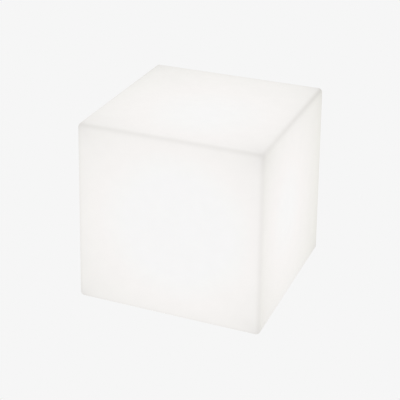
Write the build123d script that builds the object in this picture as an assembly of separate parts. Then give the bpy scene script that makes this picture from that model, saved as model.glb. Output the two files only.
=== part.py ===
"""Rechargeable cube light: a glowing polyethylene cube with a lamp unit screwed into its base.

All sizes are millimetres. +Z is up, the origin is the centre of the footprint, and z = 0 is the
surface that the rubber feet stand on. The front face looks along -Y and the right face along +X.
The lamp unit goes in from below: a round housing with a flange seals against a ledge in the
shell's underside, holds the battery and electronics, and carries a post with the LEDs, which
puts the light source in the middle of the cube.
"""

import os
from math import cos, radians, sin, tan

from build123d import *

# ---- Clearances ------------------------------------------------------------------------------
seat_gap = 0.05  # between pieces that are fitted tight or threaded together
running_gap = 0.05  # radial, round a piece that slides or turns on another
free_gap = 0.3  # between pieces that only have to clear each other

# ---- Diffuser shell, rotationally moulded in polyethylene ------------------------------------
shell_height = 398.0
shell_top_width = 394.0
shell_draft = 1.0  # degrees on each side, wider at the base
shell_wall = 4.0
shell_edge_radius = 10.0
least_inner_radius = 1.0

# ---- Underside of the shell ------------------------------------------------------------------
recess_radius = 100.0
recess_depth = 16.0
recess_lip_radius = 2.0
opening_gap = 2.0  # round the housing where it passes through the ledge

foot_proud = 2.0
foot_radius = 10.0
foot_edge = 0.8
foot_pocket_depth = 2.0
foot_inset = 54.0  # from the shell's side to a foot's centre

# ---- Screws and inserts ----------------------------------------------------------------------
m4_radius = 2.0
m4_head_radius = 3.8
m4_head_height = 2.2
m4_length = 13.0
insert_radius = 3.2
insert_length = 9.0
m3_radius = 1.5
m3_head_radius = 2.8
m3_head_height = 2.2
m2_radius = 1.0
m2_head_radius = 1.9
m2_head_height = 1.3
drive_share = 0.5  # across a socket in a screw head, of the head's width
screw_hole_gap = 0.25  # radial, round a shank that passes through a piece

# ---- Lamp unit's housing, moulded in ABS -----------------------------------------------------
gasket_thickness = 2.0
gasket_inset = 1.0
flange_gap = 3.0
flange_thickness = 4.0
base_screw_count = 6
housing_radius = 70.0
housing_wall = 3.0
housing_depth = 56.0
deck_boss_radius = 4.5
deck_boss_sink = 1.0  # into the housing's wall
deck_screw_count = 4
deck_screw_length = 12.0
deck_seal_thickness = 1.0
deck_seal_width = 12.0
deck_thickness = 3.0

# ---- Control board and what it carries -------------------------------------------------------
board_length = 84.0
board_width = 52.0
board_thickness = 1.6
board_standoff = 12.0
board_hole_inset = 5.0
board_post_radius = 3.0
board_screw_length = 7.0
switch_width = 9.0
switch_height = 6.5
switch_bore_spare = 0.5  # beyond the plunger when it is fully pressed
indicator_led_width = 3.0
indicator_led_height = 1.2
connector_length = 8.0
connector_width = 9.0
connector_height = 6.0
connector_inset = 1.0
inductor_width = 12.0
inductor_height = 6.0
inductor_corner = 2.0
capacitor_radius = 3.15
capacitor_height = 8.0
chip_sizes = ((10.0, 8.0, 1.8), (7.0, 7.0, 1.2), (6.0, 5.0, 1.6))
chip_places = ((-14.0, 14.0), (6.0, 15.0), (22.0, 14.0))
inductor_place = (-14.0, -13.0)
capacitor_places = ((6.0, -15.0), (15.0, -15.0), (24.0, -15.0))

# ---- Power button ----------------------------------------------------------------------------
button_x = 24.0
button_radius = 8.0
button_proud = 1.5
button_travel = 2.0
button_edge = 0.8
button_dish_radius = 14.0
button_dish_depth = 0.5
collar_radius = 10.0
collar_thickness = 1.2
button_seal_radius = 10.5
button_seal_thickness = 1.5
plunger_radius = 2.2
plunger_engagement = 2.5
spring_radius = 3.4
spring_wire = 0.2  # radius of the wire
spring_turns = 3

# ---- Charging port and its hinged cover ------------------------------------------------------
port_x = -22.0
port_to_hinge = 14.0
cover_length = 26.0  # from the hinge's axis to the free end
cover_width = 18.0
cover_thickness = 2.6
cover_corner = 3.0
cover_swing = 110.0  # degrees
cover_seal_thickness = 0.8
cover_seal_width = 2.0
cover_seal_margin = 0.3  # round the well's mouth
hinge_pin_radius = 0.8
hinge_knuckle_radius = 1.7
hinge_pin_grip = 3.0  # length of pin held at each end
well_length = 18.0
well_width = 12.0
well_corner = 2.5
well_depth = 5.2
port_boss_wall = 2.0
socket_sleeve = 1.8  # thickness of the wall that the socket passes through
finger_notch_radius = 7.0
finger_notch_depth = 1.8
socket_width = 8.94
socket_height = 3.26
socket_wall = 0.35
socket_back = 2.5
tongue_width = 6.7
tongue_thickness = 0.7
tongue_inset = 0.8

# ---- Indicator -------------------------------------------------------------------------------
indicator_x = 7.0
light_pipe_radius = 1.5
light_pipe_collar_radius = 2.5
light_pipe_collar_height = 1.2

# ---- Battery ---------------------------------------------------------------------------------
cell_radius = 9.2
cell_length = 65.2
cell_edge = 1.0
cell_spacing = 0.8  # between the two cells' sides
tab_thickness = 0.3
tab_height = 7.0
protection_thickness = 1.2
protection_height = 14.0
tray_room = 10.0  # above the control board, for its tallest component
tray_length = 104.0
tray_width = 64.0
tray_corner = 8.0
tray_thickness = 2.0
tray_post_radius = 3.5
tray_hole_inset_x = 4.0
tray_hole_inset_y = 5.0
tray_screw_length = 8.0
tray_notch_width = 12.0
cell_lift = 1.0  # the cells' lowest line above the tray
saddle_spacing = 44.0
saddle_thickness = 5.0
saddle_margin = 1.5  # beyond the cells' sides
clamp_width = 16.0
clamp_thickness = 1.6
clamp_foot = 9.0
clamp_boss_height = 4.0
clamp_boss_radius = 3.0
clamp_screw_length = 5.0
clamp_pad_thickness = 1.2

# ---- Internal leads --------------------------------------------------------------------------
lead_radius = 0.8
lead_pitch = 4.0
lead_bend_radius = 4.0
lead_tail = 2.0  # straight, between a connector and the first bend
lead_notch_gap = 5.0  # from the bottom of the tray's notch to a lead's centre line
lead_straight = 0.5  # below the grommet, before the lamp leads bend

# ---- Lamp post and LED core ------------------------------------------------------------------
post_flange_radius = 26.0
post_flange_thickness = 4.0
post_radius = 13.0
post_bore_radius = 8.0
post_root_radius = 3.0
spigot_radius = 11.0
spigot_length = 25.0
post_screw_count = 4
post_screw_length = 6.5
grommet_radius = 6.5
grommet_lip = 1.0
core_sides = 6
core_apothem = 17.0
core_length = 100.0
set_screw_depth = 10.0  # above the core's lower end
set_screw_length = 6.5
side_board_width = 15.0
side_board_margin = 2.0
side_board_thickness = 1.2
side_screw_length = 4.5
led_width = 5.0
led_height = 1.6
led_lens_radius = 1.9
led_lens_depth = 0.3
leds_per_side = 6
led_pitch = 15.0
top_board_thickness = 1.6
top_led_circle = 8.5
top_led_count = 6
top_screw_circle = 14.3
top_screw_count = 3
top_screw_length = 6.0
jumper_radius = 0.4
jumper_bend_radius = 1.2
jumper_inset = 4.5  # from the core's flat to the joint on the top board
jumper_drop = 7.0

# ---- Inner diffuser --------------------------------------------------------------------------
diffuser_radius = 34.0
diffuser_wall = 2.0
diffuser_headroom = 20.0  # above the core
diffuser_top_radius = 14.0
diffuser_flange_radius = 40.0
diffuser_flange_thickness = 3.0
diffuser_seal_thickness = 1.0
clamp_ring_radius = 49.0
clamp_ring_lip = 2.5
clamp_ring_edge = 1.0
clamp_ring_screw_count = 4
clamp_ring_screw_length = 9.0

# ---- Heights and radii that follow -----------------------------------------------------------
shell_bottom_z = foot_proud
shell_top_z = shell_bottom_z + shell_height
shell_inner_radius = max(shell_edge_radius - shell_wall, least_inner_radius)
ledge_z = shell_bottom_z + recess_depth
ledge_top_z = ledge_z + shell_wall
opening_radius = housing_radius + opening_gap
insert_circle = (opening_radius + recess_radius) / 2
insert_boss_radius = insert_radius + shell_wall

flange_radius = recess_radius - flange_gap
flange_top_z = ledge_z - gasket_thickness
flange_bottom_z = flange_top_z - flange_thickness
housing_inner_radius = housing_radius - housing_wall
rim_z = flange_top_z + housing_depth
deck_z = rim_z + deck_seal_thickness
deck_top_z = deck_z + deck_thickness
deck_screw_circle = housing_inner_radius - deck_boss_radius + deck_boss_sink

board_z = flange_top_z + board_standoff
board_top_z = board_z + board_thickness
switch_z = board_z - switch_height

button_face_z = flange_bottom_z - button_proud
collar_z = flange_top_z + free_gap
collar_top_z = collar_z + collar_thickness
spring_bottom_z = collar_top_z + seat_gap
spring_top_z = switch_z - seat_gap
switch_bore_z = switch_z + plunger_engagement + button_travel + switch_bore_spare

hinge_x = port_x - port_to_hinge
hinge_z = flange_bottom_z + hinge_knuckle_radius
cover_free_x = hinge_x + cover_length
cover_top_z = flange_bottom_z + cover_thickness
cover_seal_z = cover_top_z + cover_seal_thickness
pocket_roof_z = flange_bottom_z + 2 * hinge_knuckle_radius + free_gap
socket_mouth_z = pocket_roof_z + well_depth
port_boss_z = socket_mouth_z + socket_sleeve

tray_z = board_top_z + tray_room
tray_top_z = tray_z + tray_thickness
cell_z = tray_top_z + cell_lift + cell_radius
cell_y = cell_radius + cell_spacing / 2
saddle_width = 2 * (cell_y + cell_radius + saddle_margin)
cell_top_z = cell_z + cell_radius
clamp_pad_z = cell_top_z + seat_gap
clamp_z = clamp_pad_z + clamp_pad_thickness + seat_gap
clamp_side_y = saddle_width / 2 + free_gap
clamp_screw_y = clamp_side_y + clamp_thickness + clamp_foot / 2

lead_outreach = board_length / 2 - connector_inset + lead_tail + lead_bend_radius
tray_notch_depth = tray_length / 2 - lead_outreach + lead_notch_gap
connector_x = board_length / 2 - connector_inset - connector_length / 2
connector_z = board_top_z + connector_height / 2
lamp_lead_z = deck_z - grommet_lip - lead_straight - lead_bend_radius

core_z = shell_bottom_z + shell_height / 2 - core_length / 2
core_top_z = core_z + core_length
core_bore_radius = spigot_radius + seat_gap
top_board_z = core_top_z + top_board_thickness
diffuser_z = deck_top_z + diffuser_seal_thickness
diffuser_top_z = core_top_z + diffuser_headroom
clamp_ring_shoulder_z = diffuser_z + diffuser_flange_thickness
clamp_ring_top_z = clamp_ring_shoulder_z + clamp_ring_lip
clamp_ring_bore = diffuser_radius + free_gap
clamp_ring_inner = diffuser_flange_radius + free_gap
clamp_ring_screw_circle = (clamp_ring_inner + clamp_ring_radius) / 2


# ---- Shapes that many pieces share -----------------------------------------------------------
def disc(radius, z_low, z_high, x=0.0, y=0.0):
    """Upright cylinder between two heights."""
    bottom = (Align.CENTER, Align.CENTER, Align.MIN)
    return Pos(x, y, z_low) * Cylinder(radius, z_high - z_low, align=bottom)


def ring(outer, inner, z_low, z_high, x=0.0, y=0.0):
    """Upright tube between two heights."""
    return disc(outer, z_low, z_high, x, y) - disc(inner, z_low, z_high, x, y)


def slab(length, width, z_low, z_high, x=0.0, y=0.0, corner=0.0):
    """Upright block between two heights, with rounded upright corners if asked."""
    outline = RectangleRounded(length, width, corner) if corner else Rectangle(length, width)
    return Pos(x, y, z_low) * extrude(outline, z_high - z_low)


def on_circle(radius, count, start=0.0):
    """Places evenly spaced on a circle round the Z axis, as (x, y) pairs."""
    angles = [radians(start + 360.0 * step / count) for step in range(count)]
    return [(radius * cos(angle), radius * sin(angle)) for angle in angles]


def on_corners(x, y):
    """The four corners of a rectangle centred on the Z axis."""
    return [(x, y), (-x, y), (-x, -y), (x, -y)]


def save(name, *solids):
    """Write one node, as a single solid or as a group of separate ones."""
    shape = solids[0] if len(solids) == 1 else Compound(children=list(solids))
    export_step(shape, f"parts/{name}.step")


def hex_drive(head_radius, depth, z, x, y):
    """Socket for a hexagon key, cut upwards from z."""
    outline = RegularPolygon(head_radius * drive_share, 6)
    return Pos(x, y, z) * extrude(outline, depth)


def pan_screw(radius, head_radius, head_height, length, x, y, seat_z):
    """Screw that goes down from seat_z, with its domed head above."""
    head = disc(head_radius, seat_z, seat_z + head_height, x, y)
    head = fillet(head.edges().group_by(Axis.Z)[-1], head_height / 2)
    shank = disc(radius, seat_z - length, seat_z, x, y)
    depth = head_height / 2
    return head + shank - hex_drive(head_radius, depth, seat_z + head_height - depth, x, y)


def m2_screw(length, x, y, seat_z):
    """Small pan-head screw."""
    return pan_screw(m2_radius, m2_head_radius, m2_head_height, length, x, y, seat_z)


def m3_screw(length, x, y, seat_z):
    """Middle-sized pan-head screw."""
    return pan_screw(m3_radius, m3_head_radius, m3_head_height, length, x, y, seat_z)


def sink_cone(radius, head_radius, head_height, z, x, y):
    """Cone that a countersunk head fills, wide end down at z."""
    bottom = (Align.CENTER, Align.CENTER, Align.MIN)
    return Pos(x, y, z) * Cone(head_radius, radius, head_height, align=bottom)


def drill(piece, radius, z_low, z_high, places):
    """Cut the same upright hole at each place."""
    for x, y in places:
        piece -= disc(radius, z_low, z_high, x, y)
    return piece


def lead(points, radius, bend_radius):
    """Round wire along straight runs joined by tangent arcs."""
    corners = len(points) - 2
    path = FilletPolyline(*points, radius=[bend_radius] * corners)
    section = Plane(origin=path @ 0, z_dir=path % 0) * Circle(radius)
    return sweep(section, path=path)


# ---- Places ----------------------------------------------------------------------------------
base_screw_places = on_circle(insert_circle, base_screw_count)
deck_screw_places = on_circle(deck_screw_circle, deck_screw_count, 45.0)
post_screw_places = on_circle(
    (post_flange_radius + post_radius + post_root_radius) / 2, post_screw_count, 45.0
)
clamp_ring_screw_places = on_circle(clamp_ring_screw_circle, clamp_ring_screw_count)
board_screw_places = on_corners(
    board_length / 2 - board_hole_inset, board_width / 2 - board_hole_inset
)
tray_screw_places = on_corners(
    tray_length / 2 - tray_hole_inset_x, tray_width / 2 - tray_hole_inset_y
)
clamp_screw_places = [(0.0, clamp_screw_y), (0.0, -clamp_screw_y)]
lead_offsets = (-lead_pitch / 2, lead_pitch / 2)


# ---- Diffuser shell --------------------------------------------------------------------------
def half_width(z):
    """Half of the shell's outer width at a height."""
    return shell_top_width / 2 + (shell_top_z - z) * tan(radians(shell_draft))


def drafted_block(inset, z_low, z_high, edge_radius):
    """Square block with the shell's draft, set in from the shell's faces."""
    sections = []
    for z in (z_low, z_high):
        width = 2 * (half_width(z) - inset / cos(radians(shell_draft)))
        sections.append(Pos(0, 0, z) * Rectangle(width, width))
    block = loft(sections, ruled=True)
    return fillet(block.edges(), edge_radius)


foot_offset = half_width(shell_bottom_z) - foot_inset
foot_places = on_corners(foot_offset, foot_offset)


def make_diffuser_shell():
    """Hollow cube with a stepped recess, a round opening and moulded-in bosses underneath."""
    cavity = drafted_block(
        shell_wall, shell_bottom_z + shell_wall, shell_top_z - shell_wall, shell_inner_radius
    )
    shell = drafted_block(0.0, shell_bottom_z, shell_top_z, shell_edge_radius) - cavity
    shell += disc(recess_radius + shell_wall, shell_bottom_z, ledge_top_z)
    for x, y in base_screw_places:
        shell += disc(insert_boss_radius, ledge_z, ledge_z + insert_length + shell_wall, x, y)
    pocket_z = shell_bottom_z + foot_pocket_depth
    for x, y in foot_places:
        shell += disc(foot_radius + shell_wall, shell_bottom_z, pocket_z + shell_wall, x, y)
    shell -= disc(recess_radius, shell_bottom_z, ledge_z)
    lip = shell.edges().filter_by(GeomType.CIRCLE).filter_by(
        lambda edge: abs(edge.radius - recess_radius) < seat_gap
    )
    shell = fillet(lip.sort_by(Axis.Z)[0], recess_lip_radius)
    shell -= disc(opening_radius, ledge_z, ledge_top_z)
    shell = drill(shell, insert_radius + seat_gap, ledge_z, ledge_z + insert_length, base_screw_places)
    return drill(shell, foot_radius + seat_gap, shell_bottom_z, pocket_z, foot_places)


def make_foot(x, y):
    """Rubber foot glued into its pocket, with a rounded lower rim."""
    foot = disc(foot_radius, 0.0, foot_proud + foot_pocket_depth, x, y)
    return fillet(foot.edges().group_by(Axis.Z)[0], foot_edge)


def make_insert(x, y):
    """Brass insert moulded into a boss, with two knurled bands as grooves."""
    insert = ring(insert_radius, m4_radius + seat_gap, ledge_z, ledge_z + insert_length, x, y)
    groove_depth = (insert_radius - m4_radius) / 4
    band = insert_length / 5
    for step in (1, 3):
        z = ledge_z + step * band
        insert -= ring(insert_radius + free_gap, insert_radius - groove_depth, z, z + band, x, y)
    return insert


def make_base_screw(x, y):
    """Countersunk screw, flush with the flange's underside, threaded up into an insert."""
    head = sink_cone(m4_radius, m4_head_radius, m4_head_height, flange_bottom_z, x, y)
    shank = disc(m4_radius, flange_bottom_z, flange_bottom_z + m4_length, x, y)
    return head + shank - hex_drive(m4_head_radius, m4_head_height / 2, flange_bottom_z, x, y)


def make_base_gasket():
    """Flat silicone ring between the ledge and the housing's flange."""
    outer = flange_radius - gasket_inset
    gasket = ring(outer, opening_radius + gasket_inset, flange_top_z, ledge_z)
    return drill(gasket, m4_radius + screw_hole_gap, flange_top_z, ledge_z, base_screw_places)


# ---- Housing ---------------------------------------------------------------------------------
pocket_relief_angle = radians(max(cover_swing - 90.0, 0.0))
hinge_relief = free_gap + hinge_knuckle_radius * (
    cos(pocket_relief_angle) + (1 + sin(pocket_relief_angle)) * tan(pocket_relief_angle)
)
pocket_low_x = hinge_x - hinge_relief
pocket_high_x = cover_free_x + free_gap
pocket_width = cover_width + 2 * free_gap


def make_housing_body():
    """Flange, can wall, bosses and posts before anything is cut."""
    body = disc(flange_radius, flange_bottom_z, flange_top_z)
    body += ring(housing_radius, housing_inner_radius, flange_top_z, rim_z)
    for x, y in deck_screw_places:
        body += disc(deck_boss_radius, flange_top_z, rim_z, x, y)
    for x, y in board_screw_places:
        body += disc(board_post_radius, flange_top_z, board_z, x, y)
    for x, y in tray_screw_places:
        body += disc(tray_post_radius, flange_top_z, tray_z, x, y)
    boss_length = pocket_high_x - pocket_low_x + 2 * port_boss_wall
    boss_x = (pocket_high_x + pocket_low_x) / 2
    boss_width = pocket_width + 2 * port_boss_wall
    body += slab(boss_length, boss_width, flange_top_z, port_boss_z, boss_x, 0.0, port_boss_wall)
    return body


def cut_port(body):
    """Cover pocket, hinge channels, finger notch, plug well and socket slot."""
    pocket_length = pocket_high_x - pocket_low_x
    pocket_x = (pocket_high_x + pocket_low_x) / 2
    body -= slab(pocket_length, pocket_width, flange_bottom_z, pocket_roof_z, pocket_x)
    channel_width = 2 * (hinge_pin_radius + seat_gap)
    channel_length = pocket_width + 2 * hinge_pin_grip
    body -= slab(channel_width, channel_length, flange_bottom_z, hinge_z, hinge_x)
    channel_end = Pos(hinge_x, 0, hinge_z) * Rot(90, 0, 0)
    body -= channel_end * Cylinder(hinge_pin_radius + seat_gap, channel_length)
    notch_z = flange_bottom_z + finger_notch_depth
    body -= disc(finger_notch_radius, flange_bottom_z, notch_z, pocket_high_x)
    body -= slab(well_length, well_width, pocket_roof_z, socket_mouth_z, port_x, 0.0, well_corner)
    slot_height = socket_height + 2 * seat_gap
    slot = SlotOverall(socket_width + 2 * seat_gap, slot_height)
    body -= Pos(port_x, 0, socket_mouth_z) * extrude(slot, port_boss_z - socket_mouth_z)
    return body


def make_base_housing():
    """Round can with a flange: the lamp unit's chassis, open at the top."""
    body = cut_port(make_housing_body())
    for x, y in base_screw_places:
        body -= sink_cone(m4_radius, m4_head_radius, m4_head_height, flange_bottom_z, x, y)
    body = drill(
        body, m4_radius + screw_hole_gap, flange_bottom_z, flange_top_z, base_screw_places
    )
    deck_hole_z = deck_top_z - deck_screw_length - free_gap
    body = drill(body, m3_radius + seat_gap, deck_hole_z, rim_z, deck_screw_places)
    board_hole_z = board_top_z - board_screw_length - free_gap
    body = drill(body, m2_radius + seat_gap, board_hole_z, board_z, board_screw_places)
    tray_hole_z = tray_top_z - tray_screw_length - free_gap
    body = drill(body, m3_radius + seat_gap, tray_hole_z, tray_z, tray_screw_places)
    body -= disc(button_radius + free_gap, flange_bottom_z, flange_top_z, button_x)
    seal_z = flange_top_z - button_seal_thickness
    body -= disc(button_seal_radius + seat_gap, seal_z, flange_top_z, button_x)
    body -= disc(light_pipe_radius + seat_gap, flange_bottom_z, flange_top_z, indicator_x)
    return body


# ---- Power button ----------------------------------------------------------------------------
def make_power_button():
    """Round cap, pushed up from below, with a collar that keeps it in the housing."""
    cap = disc(button_radius, button_face_z, collar_z, button_x)
    cap = fillet(cap.edges().group_by(Axis.Z)[0], button_edge)
    dish_z = button_face_z + button_dish_depth - button_dish_radius
    cap -= Pos(button_x, 0, dish_z) * Sphere(button_dish_radius)
    return cap + disc(collar_radius, collar_z, collar_top_z, button_x)


def make_switch_plunger():
    """Stem on the cap that enters the switch."""
    top_z = switch_z + plunger_engagement
    return disc(plunger_radius, collar_top_z, top_z, button_x)


def make_button_seal():
    """Silicone lip ring round the cap, in a rebate in the housing's floor."""
    seal_z = flange_top_z - button_seal_thickness
    return ring(button_seal_radius, button_radius + free_gap, seal_z, flange_top_z, button_x)


def make_switch_body():
    """Square push switch soldered under the board, with a bore for the plunger."""
    body = slab(switch_width, switch_width, switch_z, board_z, button_x)
    bore_radius = plunger_radius + running_gap
    return body - disc(bore_radius, switch_z, switch_bore_z, button_x)


def make_button_spring():
    """Small coil spring between the cap's collar and the switch."""
    height = spring_top_z - spring_bottom_z - 2 * spring_wire
    coil = Helix(pitch=height / spring_turns, height=height, radius=spring_radius)
    section = Plane(origin=coil @ 0, z_dir=coil % 0) * Circle(spring_wire)
    spring = sweep(section, path=coil, is_frenet=True)
    return Pos(button_x, 0, spring_bottom_z + spring_wire) * spring


# ---- Charging port ---------------------------------------------------------------------------
def make_port_cover():
    """Flat cover with a hinge knuckle at one end and a bevelled lip for a fingernail."""
    length = cover_length
    cover = slab(length, cover_width, flange_bottom_z, cover_top_z, hinge_x + length / 2)
    corners = cover.edges().filter_by(Axis.Z).group_by(Axis.X)[-1]
    cover = fillet(corners, cover_corner)
    lip = cover.edges().group_by(Axis.Z)[0].sort_by(Axis.X)[-1]
    cover = chamfer(lip, cover_thickness / 3)
    axis = Pos(hinge_x, 0, hinge_z) * Rot(90, 0, 0)
    cover += axis * Cylinder(hinge_knuckle_radius, cover_width)
    return cover - axis * Cylinder(hinge_pin_radius + running_gap, cover_width)


def make_port_cover_seal():
    """Silicone frame on the cover that closes on the roof round the well."""
    inner_length = well_length + 2 * cover_seal_margin
    inner_width = well_width + 2 * cover_seal_margin
    outer_length = inner_length + 2 * cover_seal_width
    outer_width = inner_width + 2 * cover_seal_width
    outer_corner = well_corner + cover_seal_margin + cover_seal_width
    seal = slab(outer_length, outer_width, cover_top_z, cover_seal_z, port_x, 0.0, outer_corner)
    inner_corner = well_corner + cover_seal_margin
    return seal - slab(inner_length, inner_width, cover_top_z, cover_seal_z, port_x, 0.0, inner_corner)


def make_hinge_pin():
    """Steel pin snapped into the channels at both ends of the cover's knuckle."""
    length = pocket_width + 2 * hinge_pin_grip - 2 * seat_gap
    return Pos(hinge_x, 0, hinge_z) * Rot(90, 0, 0) * Cylinder(hinge_pin_radius, length)


def make_charge_socket():
    """Oval steel shell of the charging socket, open downwards."""
    outer = extrude(SlotOverall(socket_width, socket_height), board_z - socket_mouth_z)
    inner_height = socket_height - 2 * socket_wall
    inner = SlotOverall(socket_width - 2 * socket_wall, inner_height)
    shell = outer - extrude(inner, board_z - socket_mouth_z)
    return Pos(port_x, 0, socket_mouth_z) * shell


def make_socket_tongue():
    """Contact tongue on the plastic block that fills the socket's back."""
    back_z = board_z - socket_back
    width = socket_width - 2 * (socket_wall + seat_gap)
    height = socket_height - 2 * (socket_wall + seat_gap)
    block = Pos(port_x, 0, back_z) * extrude(SlotOverall(width, height), socket_back)
    tongue_z = socket_mouth_z + tongue_inset
    return block + slab(tongue_width, tongue_thickness, tongue_z, back_z, port_x)


# ---- Indicator -------------------------------------------------------------------------------
def make_light_pipe():
    """Clear rod that carries the indicator's light to the underside."""
    top_z = board_z - indicator_led_height - free_gap
    pipe = disc(light_pipe_radius, flange_bottom_z, top_z, indicator_x)
    collar_end_z = flange_top_z + light_pipe_collar_height
    return pipe + disc(light_pipe_collar_radius, flange_top_z, collar_end_z, indicator_x)


def make_indicator_led():
    """Small LED under the board, above the light pipe."""
    z = board_z - indicator_led_height
    return slab(indicator_led_width, indicator_led_width, z, board_z, indicator_x)


# ---- Control board ---------------------------------------------------------------------------
def make_control_board():
    """Printed board on four posts."""
    board = slab(board_length, board_width, board_z, board_top_z, corner=board_post_radius)
    return drill(board, m2_radius + screw_hole_gap, board_z, board_top_z, board_screw_places)


def make_driver_chips():
    """Flat packages on the board: charger, driver and controller."""
    chips = []
    for (length, width, height), (x, y) in zip(chip_sizes, chip_places):
        chips.append(slab(length, width, board_top_z, board_top_z + height, x, y))
    return chips


def make_power_inductor():
    """Square choke with rounded corners."""
    x, y = inductor_place
    top_z = board_top_z + inductor_height
    return slab(inductor_width, inductor_width, board_top_z, top_z, x, y, inductor_corner)


def make_filter_capacitors():
    """Upright can capacitors."""
    top_z = board_top_z + capacitor_height
    return [disc(capacitor_radius, board_top_z, top_z, x, y) for x, y in capacitor_places]


def make_connector(x):
    """Wire connector at the board's edge."""
    top_z = board_top_z + connector_height
    return slab(connector_length, connector_width, board_top_z, top_z, x)


# ---- Battery ---------------------------------------------------------------------------------
def along_x(radius, length, x, y, z):
    """Cylinder that lies along X, centred at a point."""
    return Pos(x, y, z) * Rot(0, 90, 0) * Cylinder(radius, length)


def make_cell(y):
    """One round lithium cell, lying along X."""
    cell = along_x(cell_radius, cell_length, 0.0, y, cell_z)
    return chamfer(cell.edges().filter_by(GeomType.CIRCLE), cell_edge)


def make_cell_tab(side):
    """Nickel strip that joins the two cells at one end."""
    x = side * (cell_length + tab_thickness) / 2
    width = 2 * cell_y + cell_radius
    return slab(tab_thickness, width, cell_z - tab_height / 2, cell_z + tab_height / 2, x)


protection_x = -(cell_length / 2 + tab_thickness + protection_thickness / 2)


def make_protection_board():
    """Small board on the end of the cells that guards them."""
    z = cell_z - protection_height / 2
    width = 2 * (cell_y + cell_radius - cell_edge)
    return slab(protection_thickness, width, z, z + protection_height, protection_x)


def make_battery_tray():
    """Plate above the board with saddles for the cells and notches for the leads."""
    tray = slab(tray_length, tray_width, tray_z, tray_top_z, corner=tray_corner)
    for side in (-1, 1):
        x = side * saddle_spacing / 2
        tray += slab(saddle_thickness, saddle_width, tray_top_z, cell_z, x)
    for y in (-cell_y, cell_y):
        tray -= along_x(cell_radius + seat_gap, tray_length, 0.0, y, cell_z)
    for x, y in clamp_screw_places:
        tray += disc(clamp_boss_radius, tray_top_z, tray_top_z + clamp_boss_height, x, y)
    for side in (-1, 1):
        x = side * (tray_length - tray_notch_depth) / 2
        tray -= slab(tray_notch_depth, tray_notch_width, tray_z, tray_top_z, x)
    tray = drill(tray, m3_radius + screw_hole_gap, tray_z, tray_top_z, tray_screw_places)
    boss_top_z = tray_top_z + clamp_boss_height
    return drill(tray, m2_radius + seat_gap, tray_top_z, boss_top_z, clamp_screw_places)


def make_battery_clamp():
    """Bent strap over the cells, screwed to two bosses on the tray."""
    foot_z = tray_top_z + clamp_boss_height
    top_z = clamp_z + clamp_thickness
    outer_width = 2 * (clamp_side_y + clamp_thickness)
    strap = slab(clamp_width, outer_width, foot_z, top_z)
    strap -= slab(clamp_width, 2 * clamp_side_y, foot_z, clamp_z)
    foot_top_z = foot_z + clamp_thickness
    for x, y in clamp_screw_places:
        strap += slab(clamp_width, clamp_foot, foot_z, foot_top_z, x, y)
    hole_radius = m2_radius + screw_hole_gap
    return drill(strap, hole_radius, foot_z, foot_top_z, clamp_screw_places)


def make_clamp_pad():
    """Foam strip between the strap and the cells."""
    top_z = clamp_pad_z + clamp_pad_thickness
    return slab(clamp_width, 2 * cell_y + cell_radius, clamp_pad_z, top_z)


# ---- Leads -----------------------------------------------------------------------------------
def make_battery_lead(y):
    """Wire from the cells' guard board, through the tray's notch, to its connector."""
    start_x = protection_x - protection_thickness / 2
    end_x = -(connector_x + connector_length / 2)
    points = [
        (start_x, y, cell_z),
        (-lead_outreach, y, cell_z),
        (-lead_outreach, y, connector_z),
        (end_x, y, connector_z),
    ]
    return lead(points, lead_radius, lead_bend_radius)


def make_lamp_lead(y):
    """Wire from its connector, under the deck and up the post, to the top LED board."""
    start_x = connector_x + connector_length / 2
    points = [
        (start_x, y, connector_z),
        (lead_outreach, y, connector_z),
        (lead_outreach, y, lamp_lead_z),
        (0.0, y, lamp_lead_z),
        (0.0, y, core_top_z),
    ]
    return lead(points, lead_radius, lead_bend_radius)


# ---- Deck ------------------------------------------------------------------------------------
def make_deck_seal():
    """Flat silicone ring between the housing's rim and the deck."""
    seal = ring(housing_radius, housing_radius - deck_seal_width, rim_z, deck_z)
    return drill(seal, m3_radius + screw_hole_gap, rim_z, deck_z, deck_screw_places)


def make_deck_plate():
    """Aluminium plate that closes the housing, carries the lamp and spreads its heat."""
    deck = disc(housing_radius, deck_z, deck_top_z)
    deck -= disc(grommet_radius + seat_gap, deck_z, deck_top_z)
    deck = drill(deck, m3_radius + screw_hole_gap, deck_z, deck_top_z, deck_screw_places)
    tapped = post_screw_places + clamp_ring_screw_places
    return drill(deck, m3_radius + seat_gap, deck_z, deck_top_z, tapped)


def make_lead_grommet():
    """Silicone bush that holds the two leads in the deck's central hole."""
    lip_radius = post_bore_radius - free_gap
    grommet = disc(grommet_radius, deck_z - grommet_lip, deck_top_z + grommet_lip)
    grommet += disc(lip_radius, deck_top_z, deck_top_z + grommet_lip)
    grommet += disc(lip_radius, deck_z - grommet_lip, deck_z)
    for y in lead_offsets:
        low_z = deck_z - grommet_lip
        grommet -= disc(lead_radius + seat_gap, low_z, deck_top_z + grommet_lip, 0.0, y)
    return grommet


# ---- Lamp post and LED core ------------------------------------------------------------------
def make_lamp_post():
    """Turned aluminium tube with a foot flange below and a spigot above."""
    post = disc(post_flange_radius, deck_top_z, deck_top_z + post_flange_thickness)
    post += disc(post_radius, deck_top_z, core_z)
    root = post.edges().filter_by(GeomType.CIRCLE).filter_by(
        lambda edge: abs(edge.radius - post_radius) < seat_gap
    )
    post = fillet(root.sort_by(Axis.Z)[0], post_root_radius)
    post += disc(spigot_radius, core_z, core_z + spigot_length)
    post -= disc(post_bore_radius, deck_top_z, core_z + spigot_length)
    top_z = deck_top_z + post_flange_thickness
    return drill(post, m3_radius + screw_hole_gap, deck_top_z, top_z, post_screw_places)


def hex_prism(apothem, z_low, z_high):
    """Prism with one side per LED board, a flat facing +X."""
    rotation = 180.0 / core_sides
    outline = RegularPolygon(apothem, core_sides, major_radius=False, rotation=rotation)
    return Pos(0, 0, z_low) * extrude(outline, z_high - z_low)


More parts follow.
